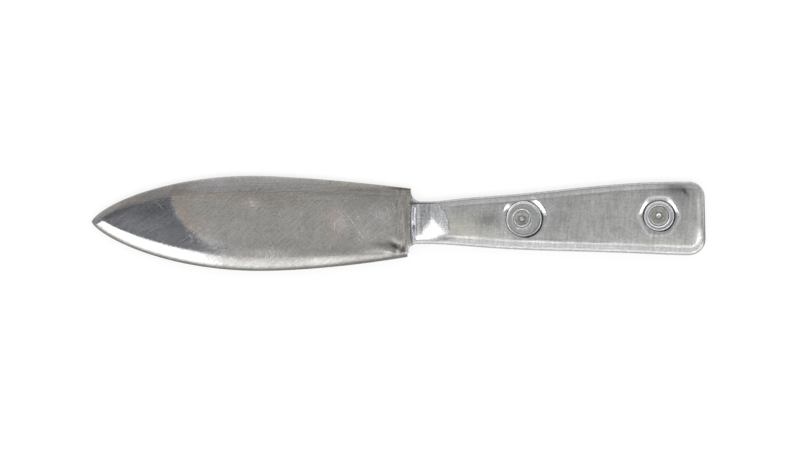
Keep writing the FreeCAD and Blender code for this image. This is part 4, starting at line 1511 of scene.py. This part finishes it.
    def _free_points(self, foot: Array) -> list[Array]:
        """Return the points between the foot and the seats: rows over the shoulders, rings and a spread.

        Args:
            foot: The outer outline.

        Returns:
            The free points, in two arrays.
        """
        rings = []
        for inset in self.insets:
            ring = self._inset(inset)
            for seat in self.seats:
                ring = ring[seat.away(ring) > seat.dish + 0.75]
            rings.append(ring)
        for seat in self.seats:
            for radius in np.linspace(seat.radius + 0.12, seat.dish + 0.6, 9):
                rings.append(ring_of((seat.x, seat.y), radius, 96))
        rows = np.vstack(rings)
        rows = rows[inside(rows, foot)]
        rows = rows[distance_to(rows, foot) > 0.012]
        start = self.nose + 0.2
        coarse = grid_of((start, -11.0), (96.0, 14.0), (self.spacing, self.spacing * 0.87), self.spacing / 2)
        fine = grid_of((start, -8.0), (self.fine_end, 8.0), (0.33, 0.33))
        spread = np.vstack([fine, coarse[coarse[:, 0] > self.fine_end]])
        spread = spread[inside(spread, foot)]
        spread = spread[distance_to(spread, self._side_line(), closed=False) > self.insets[-1] + 0.3]
        for seat in self.seats:
            rows = rows[seat.away(rows) > seat.radius + 0.05]
            spread = spread[seat.away(spread) > seat.dish + 0.95]
        return [rows, spread]

    def _underside(self, draft: Draft, foot: Array) -> None:
        """Draw the flange that lies on the tang and the hollow inside the pressing."""
        line = self._inset(self.sheet)
        hollow = line[line[:, 0] > self.throat]
        islands = [ring_of((seat.x, seat.y), seat.radius + self.sheet, 72) for seat in self.seats]
        holes = [ring_of((seat.tube_x, seat.y), seat.tube, 96) for seat in self.seats]
        flat = FlatMesh.join([foot, hollow, *islands, *holes])
        hollowed = flat.within(hollow, islands)
        low = draft.lift(flat.points, self._at(0.0))
        high = draft.lift(flat.points, self._at(self.height - self.sheet))
        draft.fill(low, flat.triangles[flat.within(foot, holes) & ~hollowed])
        draft.fill(high, flat.triangles[hollowed])
        sides: dict[tuple[int, int], int] = {}
        for triangle in flat.triangles[hollowed]:
            for a, b in zip(triangle, np.roll(triangle, -1)):
                key = (min(a, b), max(a, b))
                sides[key] = sides.get(key, 0) + 1
        draft.faces += [(low[a], low[b], high[b], high[a]) for (a, b), times in sides.items() if times == 1]

    def _mask(self, piece: Object) -> None:
        """Store where the pressing is polished, worn, filed across, yellowish and grimy, with painted
        highlights on the shoulders, the dishes and the butt's corner, and painted shade along the scoop's end
        and in the seats' gaps.
        """
        x, y, z = place_values(piece).T
        flat = np.column_stack([x, y])
        end = self.scoop_end - 0.4 - 0.05 * np.maximum(0, y + 1.5) ** 2 + 0.2 * np.sin(y * 2.3)
        neck = 1 - smooth_step(x - end, -0.3, 0.3)
        rim = 1 - smooth_step(distance_to(flat, self._side_line(), closed=False), 0.9, 2.5)
        clean = 1 - 0.9 * np.clip(patched(self.grime_and_shade, x, y), 0, 1) * self.front
        # Partly painted highlight: the struck sides of the dishes are polished lighter where they catch the
        # light.
        struck = [seat.struck(flat) * self.front for seat in self.seats]
        polished = (0.85 * neck * self.front, 0.1 * rim, *struck, self.corner_wear_and_sheen.at(x, y))
        store(piece, "polish", *(share * clean for share in polished))
        # Painted highlights: the shoulders are painted lighter, most on the belly's side where the light
        # falls and less at the butt, and so are the dishes' outlines.
        shoulder = rim * (0.08 + 0.62 * smooth_step(-y, 0, 5)) * (1 - 0.5 * smooth_step(x, 92.0, 95.0))
        store(piece, "worn", shoulder, *(seat.brim(flat) for seat in self.seats))
        if self.front:
            store(piece, "filed", neck)
            store(piece, "warm", patched(self.warm, x, y))
            # Painted shade: a dark line along the scoop's end, and the seats darkened inside their edges,
            # most where they gape round the heads.
            line = 0.7 * near(x, end - 0.1, 0.25) * (y > -2.2)
            low = z < self._at(self.height) - 0.35
            sunk = [(0.25 + 0.65 * seat.gape(flat)) * low * (seat.away(flat) < seat.radius + 0.02)
                    for seat in self.seats]
            store(piece, "dirt_and_shade", patched(self.grime_and_shade, x, y), line, *sunk)


# ----------------------------------------
# Rivets and solder


@dataclass(frozen=True)
class TurnedPart:
    """A part turned on a lathe, swept by a node tree from its profile.

    Attributes:
        node: CAD node that it stands for.
        slot: Material slot of the record; not used.
        head: Middle of the head on the knife.
        tube: Middle of the tube on the knife.
        profile: Radius, height and share of the way from the head's middle to the tube's, for each corner.
            The sweep ends in an open rim at the largest radius and height, in place of the last corner.
        finish: The part's finish.
        shining: Polished rings: 0 round the head's middle or 1 round the tube's, radius, and half its width.
        grimy: Grimy rings, told in the same way.
        around: Faces round the axis.
        steps: Corners of the swept profile.
        show_from: Height from which the rings show.
    """

    node: str
    slot: str
    head: tuple[float, float]
    tube: tuple[float, float]
    profile: tuple[tuple[float, float, float], ...]
    finish: MetalFinish
    shining: tuple[tuple[int, float, float], ...]
    grimy: tuple[tuple[int, float, float], ...] = ()
    around: int = 96
    steps: int = 33
    show_from: float = 5.8

    def _corners(self) -> Array:
        """Return the profile with its longest stretches divided until it has the tree's number of steps."""
        corners = [np.array(corner) for corner in self.profile]
        while len(corners) < self.steps:
            lengths = [np.linalg.norm((b - a)[:2]) for a, b in zip(corners, corners[1:])]
            longest = int(np.argmax(lengths))
            corners.insert(longest + 1, (corners[longest] + corners[longest + 1]) / 2)
        return np.array(corners)

    def _profile_curves(self, tree: NodeTree, along: Node) -> list[Node]:
        """Add a curve each for the profile's radius, its height and its share of the way to the tube.

        Args:
            tree: The tree.
            along: Node that gives the share of the way along the profile.

        Returns:
            The three curves, the first two as shares of their largest value.
        """
        curves = []
        corners = self._corners()
        for values in (corners / [*corners[:, :2].max(axis=0), 1.0]).T:
            curve = add_node(tree, "ShaderNodeFloatCurve", {"Value": along})
            line = curve.mapping.curves[0]
            while len(line.points) < self.steps:
                line.points.new(len(line.points) / self.steps, 0.5)
            # The last row stays at the curve's own end, the largest value, and not at the last corner's.
            for point, share, value in zip(line.points, np.linspace(0, 1, self.steps), [*values[:-1], 1.0]):
                point.location = (share, value)
                point.handle_type = "VECTOR"
            curve.mapping.update()
            curves.append(curve)
        return curves

    def _tree(self, name: str) -> NodeTree:
        """Build the node tree that sweeps the profile round its axis."""
        tree, given = shape_tree(f"{name}_turning", {
            "Around": "Int", "Head Middle": "Vector", "Tube Middle": "Vector", "Largest Radius": "Float",
            "Largest Height": "Float"})
        rows = add_node(tree, MATH, {0: given["Around"], 1: 1.0}, operation="ADD")
        grid = add_node(tree, "GeometryNodeMeshGrid", {"Size X": 1.0, "Size Y": 1.0, "Vertices X": rows,
                                                       "Vertices Y": self.steps})
        here = add_node(tree, "GeometryNodeInputPosition")
        spot = add_node(tree, "ShaderNodeSeparateXYZ", {0: here}).outputs
        turn = add_node(tree, MATH, {0: spot["X"], 1: 2 * math.pi}, operation="MULTIPLY")
        along = add_node(tree, MATH, {0: spot["Y"], 1: 0.5}, operation="ADD")
        wide, high, share = self._profile_curves(tree, along)
        radius = add_node(tree, MATH, {0: wide, 1: given["Largest Radius"]}, operation="MULTIPLY")
        height = add_node(tree, MATH, {0: high, 1: given["Largest Height"]}, operation="MULTIPLY")
        flat = []
        for wave in ("COSINE", "SINE"):
            swing = add_node(tree, MATH, {0: turn}, operation=wave)
            flat.append(add_node(tree, MATH, {0: swing, 1: radius}, operation="MULTIPLY"))
        swept = add_node(tree, "ShaderNodeCombineXYZ", {0: flat[0], 1: flat[1], 2: height})
        middle = add_node(tree, "ShaderNodeMix", {"Factor": share, "A": given["Head Middle"],
                                                  "B": given["Tube Middle"]}, data_type="VECTOR")
        place = add_node(tree, VECTOR_MATH, {0: swept, 1: middle}, operation="ADD")
        moved = add_node(tree, "GeometryNodeSetPosition", {"Geometry": grid, "Position": place})
        welded = add_node(tree, "GeometryNodeMergeByDistance", {"Geometry": moved, "Distance": 0.002 * MM})
        dress(tree, welded, self.finish.build())
        return tree

    def build(self) -> Object:
        """Turn the part, with its shining and grimy rings, and return the finished piece."""
        name = f"{self.node.replace('_rivet', '')}_turned"
        largest = self._corners().max(axis=0) * MM
        inputs = {"Around": self.around, "Head Middle": (*(v * MM for v in self.head), 0.0),
                  "Tube Middle": (*(v * MM for v in self.tube), 0.0), "Largest Radius": float(largest[0]),
                  "Largest Height": float(largest[1])}
        piece = from_tree(name, self._tree(name), inputs)
        x, y, z = place_values(piece).T
        radii = [np.hypot(x + HEEL_X - middle[0], y - middle[1]) for middle in (self.head, self.tube)]
        for mask, rings, share in (("polish", self.shining, 1.0), ("dirt_and_shade", self.grimy, 0.55)):
            shown = [share * near(radii[place], radius, half) * (z > self.show_from)
                     for place, radius, half in rings]
            store(piece, mask, np.zeros(len(x)), *shown)
        LOG.info("%s: %d points", name, len(piece.data.vertices))
        return piece


def rivets() -> list[TurnedPart]:
    """Return the four turned parts, not yet built: a sleeve and a pin for each rivet.

    Returns:
        The sleeve and the pin of the fore rivet, then those of the rear one.
    """
    fore_sleeve = (
        (3.65, 5.0, 1), (3.65, 1.5, 1), (2.85, 1.5, 1), (2.85, 6.2, 1), (2.88, 6.27, 1), (2.96, 6.3, 1),
        (3.08, 6.3, 1), (3.18, 6.22, 1), (3.3, 6.19, 0.8), (5.3, 6.19, 0), (5.42, 6.25, 0), (5.55, 6.28, 0),
        (5.68, 6.24, 0), (5.82, 6.08, 0), (5.9, 5.9, 0), (5.9, 5.0, 0), (3.65, 5.0, 1))
    rear_sleeve = (
        (4.1, 5.0, 1), (4.1, 1.5, 1), (3.3, 1.5, 1), (3.3, 6.15, 1), (3.36, 6.24, 1), (3.46, 6.27, 1),
        (3.56, 6.26, 1), (3.68, 6.2, 1), (3.8, 6.18, 0.9), (4.45, 6.2, 0), (4.58, 6.26, 0), (4.68, 6.28, 0),
        (4.8, 6.24, 0), (4.93, 6.06, 0), (5.0, 5.9, 0), (5.0, 5.0, 0), (4.1, 5.0, 1))
    fore_nib = ((0.0, 6.28, 1), (0.25, 6.34, 1), (0.45, 6.33, 1), (0.68, 6.1, 1), (0.95, 5.95, 1),
                (1.35, 6.02, 1), (1.7, 6.12, 1))
    rear_nib = ((0.0, 6.18, 1), (0.35, 6.2, 1), (0.6, 6.32, 1), (0.8, 6.34, 1), (1.0, 6.24, 1),
                (1.2, 6.1, 1), (1.6, 6.1, 1))
    parts = []
    for name, head, tube, sleeve, bore, radius, steel, nib in (
        ("fore", FORE_HEAD, FORE_TUBE, fore_sleeve, 2.85, 5.9, FORE_HEAD_STEEL, fore_nib),
        ("rear", REAR_HEAD, REAR_TUBE, rear_sleeve, 3.3, 5.0, REAR_HEAD_STEEL, rear_nib),
    ):
        shank = bore - 0.1
        pin = (*nib, (shank - 0.35, 6.16, 1), (shank - 0.12, 6.12, 1), (shank, 6.0, 1), (shank, 1.4, 1),
               (radius, 1.4, 0), (radius, 0.5, 0), (radius - 0.06, 0.36, 0), (radius - 0.3, 0.13, 0),
               (radius - 0.4, 0.1, 0), (0.0, 0.1, 0))
        parts.append(TurnedPart(f"{name}_rivet_sleeve", f"{name}_rivet_metal", head, tube, sleeve, steel,
                                shining=((0, radius - 0.3, 0.14), (1, bore + 0.15, 0.16))))
        parts.append(TurnedPart(f"{name}_rivet_pin", f"{name}_pin_metal", head, tube, pin, PIN_STEEL,
                                shining=((1, nib[2][0], 0.3), (1, shank - 0.12, 0.16)),
                                grimy=((1, nib[4][0], 0.25),)))
    return parts


@dataclass(frozen=True)
class SolderBead:
    """The solder run across the heel, a lumpy bead with an oval blister and fine spatter.

    Attributes:
        start: End of the bead on the belly's side, on the knife.
        middle: Middle of its bow.
        end: End on the back's side.
        radius: Half its width.
        lump: Height of its lumps.
        lumps_per_metre: How close they lie.
        swell: Share of the run, and of the radius there, for each change of its width.
        flattened: Height that is left of the bead where it settled on the tang.
        pit: Sunk middle of the blister, with its depth as the share.
        spatter: How many drops lie beside the bead.
        drop: Radius of a drop.
    """

    start: tuple[float, float, float] = (5.3, -5.3, 4.35)
    middle: tuple[float, float, float] = (4.55, 0.5, 4.4)
    end: tuple[float, float, float] = (5.05, 5.2, 4.4)
    radius: float = 0.82
    lump: float = 0.14
    lumps_per_metre: float = 1400.0
    swell: tuple[tuple[float, float], ...] = ((0.0, 0.18), (0.22, 0.3), (0.34, 0.9), (0.6, 1.0), (0.88, 0.95),
                                              (1.0, 0.35))
    flattened: float = 0.62
    pit: Patch = Patch(1.42, -0.8, 0.34, 1.2, 0.3)
    spatter: int = 26
    drop: float = 0.1

    def _tree(self) -> NodeTree:
        """Build the node tree that runs the bead along its bow and spatters the line beside it."""
        tree, given = shape_tree("solder_bead_run", {"Start": "Vector", "Middle": "Vector", "End": "Vector",
                                                     "Radius": "Float", "Lump": "Float"})
        bow = add_node(tree, "GeometryNodeCurveQuadraticBezier", {
            "Resolution": 72, "Start": given["Start"], "Middle": given["Middle"], "End": given["End"]})
        along = add_node(tree, "GeometryNodeSplineParameter")
        swell = add_node(tree, "ShaderNodeFloatCurve", {"Value": along})
        line = swell.mapping.curves[0]
        for place, height in self.swell[1:-1]:
            line.points.new(place, height)
        for end in (0, -1):
            line.points[end].location = self.swell[end]
        swell.mapping.update()
        swollen = add_node(tree, "GeometryNodeSetCurveRadius", {"Curve": bow, "Radius": swell})
        profile = add_node(tree, "GeometryNodeCurvePrimitiveCircle", {
            "Resolution": 20, "Radius": given["Radius"]})
        run = add_node(tree, "GeometryNodeCurveToMesh", {"Curve": swollen, "Profile Curve": profile,
                                                         "Fill Caps": True})
        noise = add_node(tree, "ShaderNodeTexNoise", {"Vector": add_node(tree, "GeometryNodeInputPosition"),
                                                      "Scale": self.lumps_per_metre, "Detail": 1.0})
        centred = add_node(tree, VECTOR_MATH, {0: noise.outputs["Color"], 1: (0.5, 0.5, 0.5)},
                           operation="SUBTRACT")
        push = add_node(tree, VECTOR_MATH, {0: centred, "Scale": given["Lump"]}, operation="SCALE")
        lumpy = add_node(tree, "GeometryNodeSetPosition", {"Geometry": run, "Offset": push})
        dots = add_node(tree, "GeometryNodeCurveToPoints", {"Curve": bow, "Count": self.spatter},
                        mode="COUNT")
        drop = add_node(tree, "GeometryNodeMeshIcoSphere", {"Radius": self.drop * MM, "Subdivisions": 2})
        sizes = add_node(tree, "FunctionNodeRandomValue", {"Min": (0.5, 0.5, 0.3), "Max": (1.2, 2.2, 0.7),
                                                           "Seed": 7}, data_type="FLOAT_VECTOR")
        drops = add_node(tree, "GeometryNodeInstanceOnPoints", {
            "Points": dots, "Instance": drop, "Scale": sizes})
        strewn = add_node(tree, "FunctionNodeRandomValue", {
            "Min": (0.6 * MM, -0.2 * MM, -0.1 * MM), "Max": (1.0 * MM, 0.2 * MM, 0.1 * MM), "Seed": 3},
            data_type="FLOAT_VECTOR")
        moved = add_node(tree, "GeometryNodeTranslateInstances", {"Instances": drops, "Translation": strewn})
        both = add_node(tree, "GeometryNodeJoinGeometry", {0: lumpy})
        tree.links.new(moved.outputs[0], both.inputs[0])
        dress(tree, both, TIN_SOLDER.build())
        return tree

    def build(self) -> Object:
        """Run the bead, settle it on the tang inside its CAD node's box, and return the finished piece."""
        inputs = {"Start": [v * MM for v in self.start], "Middle": [v * MM for v in self.middle],
                  "End": [v * MM for v in self.end], "Radius": self.radius * MM, "Lump": self.lump * MM}
        piece = from_tree("heel_solder_bead", self._tree(), inputs)
        low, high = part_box("heel_solder")
        x, y, z = (place_values(piece) + [HEEL_X, 0, 0]).T
        settled = TANG_TOP + (z - TANG_TOP) * self.flattened
        pit = self.pit.at(x - HEEL_X, y) * (settled > TANG_TOP)
        points = np.column_stack([np.clip(x * MM, low.x, high.x), np.clip(y * MM, low.y, high.y),
                                  np.clip(settled * MM, low.z - 0.2 * MM, high.z) - pit * MM])
        piece.data.vertices.foreach_set("co", points.ravel())
        piece.data.update()
        x, y, z = place_values(piece).T
        # Painted shade darkens the blister's pit, and lighter polish along the bead's flanks paints a
        # highlight.
        store(piece, "dirt_and_shade", Patch(self.pit.x, self.pit.y, 0.3, 1.1, 0.8).at(x, y))
        store(piece, "polish", 0.6 * near(np.abs(x - 1.35), 0.5, 0.2) * (z > TANG_TOP))
        LOG.info("solder: %d points", len(piece.data.vertices))
        return piece


# ----------------------------------------
# Packing


@dataclass(frozen=True)
class PackingCement:
    """Grey packing cement, cast inside the pressings: matt, chalky and full of fine voids.

    Attributes:
        name: Name of the finish.
        light: Colour of the chalk.
        dark: Colour of the voids.
        void_mm: Size of the voids.
        void_depth: Their depth, in millimetres.
    """

    name: str = "cast_packing_cement"
    light: str = "#8E8A80"
    dark: str = "#67635B"
    void_mm: float = 0.4
    void_depth: float = 0.05

    def build(self) -> Material:
        """Make the material."""
        material, tree = blank_material(self.name)
        place = add_node(tree, "ShaderNodeTexCoord").outputs["Object"]
        voids = add_node(tree, "ShaderNodeTexNoise", {"Vector": place, "Scale": 1 / (self.void_mm * MM),
                                                      "Detail": 4.0}).outputs["Fac"]
        colour = add_node(tree, "ShaderNodeMix", {"Factor": voids, "A": linear(self.light),
                                                  "B": linear(self.dark)}, data_type="RGBA")
        bump = add_node(tree, "ShaderNodeBump", {"Distance": self.void_depth * MM, "Height": voids})
        shader = add_node(tree, "ShaderNodeBsdfPrincipled", {"Base Color": colour, "Roughness": 0.9,
                                                             "Normal": bump})
        add_node(tree, "ShaderNodeOutputMaterial", {"Surface": shader})
        return material


# ----------------------------------------
# Studio


@dataclass(frozen=True)
class SoftBox:
    """A soft white lamp hung over the table.

    Attributes:
        name: Name of the lamp.
        lean: Degrees from straight up.
        bearing: Degrees from the butt's direction, anticlockwise seen from above.
        distance: Metres from the knife.
        wide: Degrees that it spans along X.
        deep: Degrees that it spans across.
        radiance: How bright its face is, where 1 is white.
    """

    name: str
    lean: float
    bearing: float
    distance: float
    wide: float
    deep: float
    radiance: float

    def hang(self) -> Object:
        """Hang the lamp facing the knife, and return it."""
        lamp = bpy.data.lights.new(self.name, "AREA")
        lamp.shape = "RECTANGLE"
        lamp.size = 2 * self.distance * math.tan(math.radians(self.wide / 2))
        lamp.size_y = 2 * self.distance * math.tan(math.radians(self.deep / 2))
        lamp.energy = self.radiance * math.pi * lamp.size * lamp.size_y
        holder = bpy.data.objects.new(self.name, lamp)
        lean, bearing = math.radians(self.lean), math.radians(self.bearing)
        out = math.sin(lean)
        away = Vector((out * math.cos(bearing), out * math.sin(bearing), math.cos(lean)))
        holder.location = away * self.distance
        holder.rotation_euler = away.to_track_quat("Z", "Y").to_euler()
        holder.visible_camera = False
        return in_scene(holder)


@dataclass(frozen=True)
class Studio:
    """The white table, the soft lamps, the pale room and the camera straight above.

    Attributes:
        frame_mm: Width of the photograph's frame at the height of the knife.
        lens: Focal length.
        sensor: Width of the sensor.
        aim: Place on the knife that the middle of the frame shows, with its height.
        table_half: Half the width of the table, in metres.
        table_drop: How far the table lies below the knife, so that the two don't touch.
        table_glow: Share of the table's look that is plain white.
        ceiling: Height on the room's dome, from 0 at the horizon to 1 straight up, and colour there.
        lamps: The soft lamps.
    """

    frame_mm: float = 260.56
    lens: float = 100.0
    sensor: float = 36.0
    aim: tuple[float, float, float] = (0.489, -2.654, 3.2)
    table_half: float = 6.0
    table_drop: float = 0.04
    table_glow: float = 0.75
    ceiling: tuple[tuple[float, str], ...] = (
        (0.0, "#FFFFFF"), (0.3, "#FBFCFD"), (0.7, "#DEDFE2"), (0.88, "#B2B4B9"), (0.965, "#878991"),
        (0.99, "#787B83"), (1.0, "#767981"))
    lamps: tuple[SoftBox, ...] = (
        SoftBox("south_lamp", lean=18.0, bearing=268.0, distance=1.0, wide=80.0, deep=22.0, radiance=2.4),
        SoftBox("east_lamp", lean=46.0, bearing=-8.0, distance=1.1, wide=26.0, deep=44.0, radiance=0.9),
        SoftBox("north_lamp", lean=40.0, bearing=92.0, distance=1.0, wide=60.0, deep=36.0, radiance=0.62))

    def camera(self) -> None:
        """Set up the camera at the photograph's viewing angle."""
        data = bpy.data.cameras.new("overhead_camera")
        data.lens = self.lens
        data.sensor_width = self.sensor
        data.clip_start, data.clip_end = 0.01, 20.0
        camera = in_scene(bpy.data.objects.new("overhead_camera", data))
        distance = self.lens / self.sensor * self.frame_mm
        camera.location = (self.aim[0] * MM, self.aim[1] * MM, (distance + self.aim[2]) * MM)
        bpy.context.scene.camera = camera

    def table(self) -> None:
        """Lay the white table, which shows plain white where it is lit and keeps the knife's shadow."""
        mesh = bpy.data.meshes.new("white_table")
        corners = [(x * self.table_half, y * self.table_half, -self.table_drop * MM)
                   for x, y in ((-1, -1), (1, -1), (1, 1), (-1, 1))]
        mesh.from_pydata(corners, [], [(0, 1, 2, 3)])
        material, tree = blank_material("white_table_paper")
        paper = add_node(tree, "ShaderNodeBsdfDiffuse", {"Color": linear("#F0F0F0")})
        white = add_node(tree, "ShaderNodeBsdfDiffuse", {"Color": linear("#FFFFFF")})
        glow = add_node(tree, "ShaderNodeEmission", {"Color": linear("#FFFFFF"), "Strength": 1.0})
        shown = add_node(tree, "ShaderNodeMixShader", {0: self.table_glow, 1: white, 2: glow})
        ray = add_node(tree, "ShaderNodeLightPath").outputs
        seen = ray["Is Camera Ray"]
        for way in ("Is Glossy Ray", "Is Transmission Ray"):
            seen = add_node(tree, MATH, {0: seen, 1: ray[way]}, operation="MAXIMUM")
        both = add_node(tree, "ShaderNodeMixShader", {0: seen, 1: paper, 2: shown})
        add_node(tree, "ShaderNodeOutputMaterial", {"Surface": both})
        mesh.materials.append(material)
        in_scene(bpy.data.objects.new("white_table", mesh))

    def room(self) -> None:
        """Give the room pale walls and a darker ceiling, as a photographer's room has above the table."""
        world = bpy.data.worlds.new("pale_room")
        bpy.context.scene.world = world
        world.use_nodes = True
        tree = world.node_tree
        tree.nodes.clear()
        place = add_node(tree, "ShaderNodeTexCoord").outputs["Generated"]
        height = add_node(tree, "ShaderNodeSeparateXYZ", {0: place}).outputs["Z"]
        dome = add_node(tree, "ShaderNodeValToRGB", {0: height})
        while len(dome.color_ramp.elements) < len(self.ceiling):
            dome.color_ramp.elements.new(0.5)
        for element, (share, colour) in zip(dome.color_ramp.elements, self.ceiling):
            element.position = share
            element.color = linear(colour)
        glow = add_node(tree, "ShaderNodeBackground", {"Color": dome, "Strength": 1.0})
        add_node(tree, "ShaderNodeOutputWorld", {"Surface": glow})

    def build(self) -> None:
        """Set up everything round the knife."""
        bpy.context.scene.view_settings.view_transform = "Standard"
        self.camera()
        self.table()
        self.room()
        for lamp in self.lamps:
            lamp.hang()


def fit(piece: Object, node: str) -> None:
    """Put a piece in the place of a CAD node.

    Args:
        piece: The finished piece.
        node: CAD node that it stands for.
    """
    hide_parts(node)
    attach(piece, "root")


def main() -> None:
    """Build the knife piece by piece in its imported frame, and set up the studio."""
    logging.basicConfig(level=logging.INFO, format="%(name)s %(message)s")
    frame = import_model()
    Studio().build()
    fit(LeafBlade().build(), "blade")
    aluminium = SCALE_ALUMINIUM.build()
    for scale, node in ((Scale(Face.FRONT, 4.8, 13.3), "front_scale"),
                        (Scale(Face.BEHIND, 2.3, 6.0), "back_scale")):
        piece = scale.build()
        piece.data.materials.append(aluminium)
        fit(piece, node)
    for part in rivets():
        fit(part.build(), part.node)
    fit(SolderBead().build(), "heel_solder")
    cement = PackingCement().build()
    for name in ("front_packing", "back_packing"):
        packing = frame["nodes"][name]
        packing.data.materials.clear()
        packing.data.materials.append(cement)


if __name__ == "__main__":
    main()
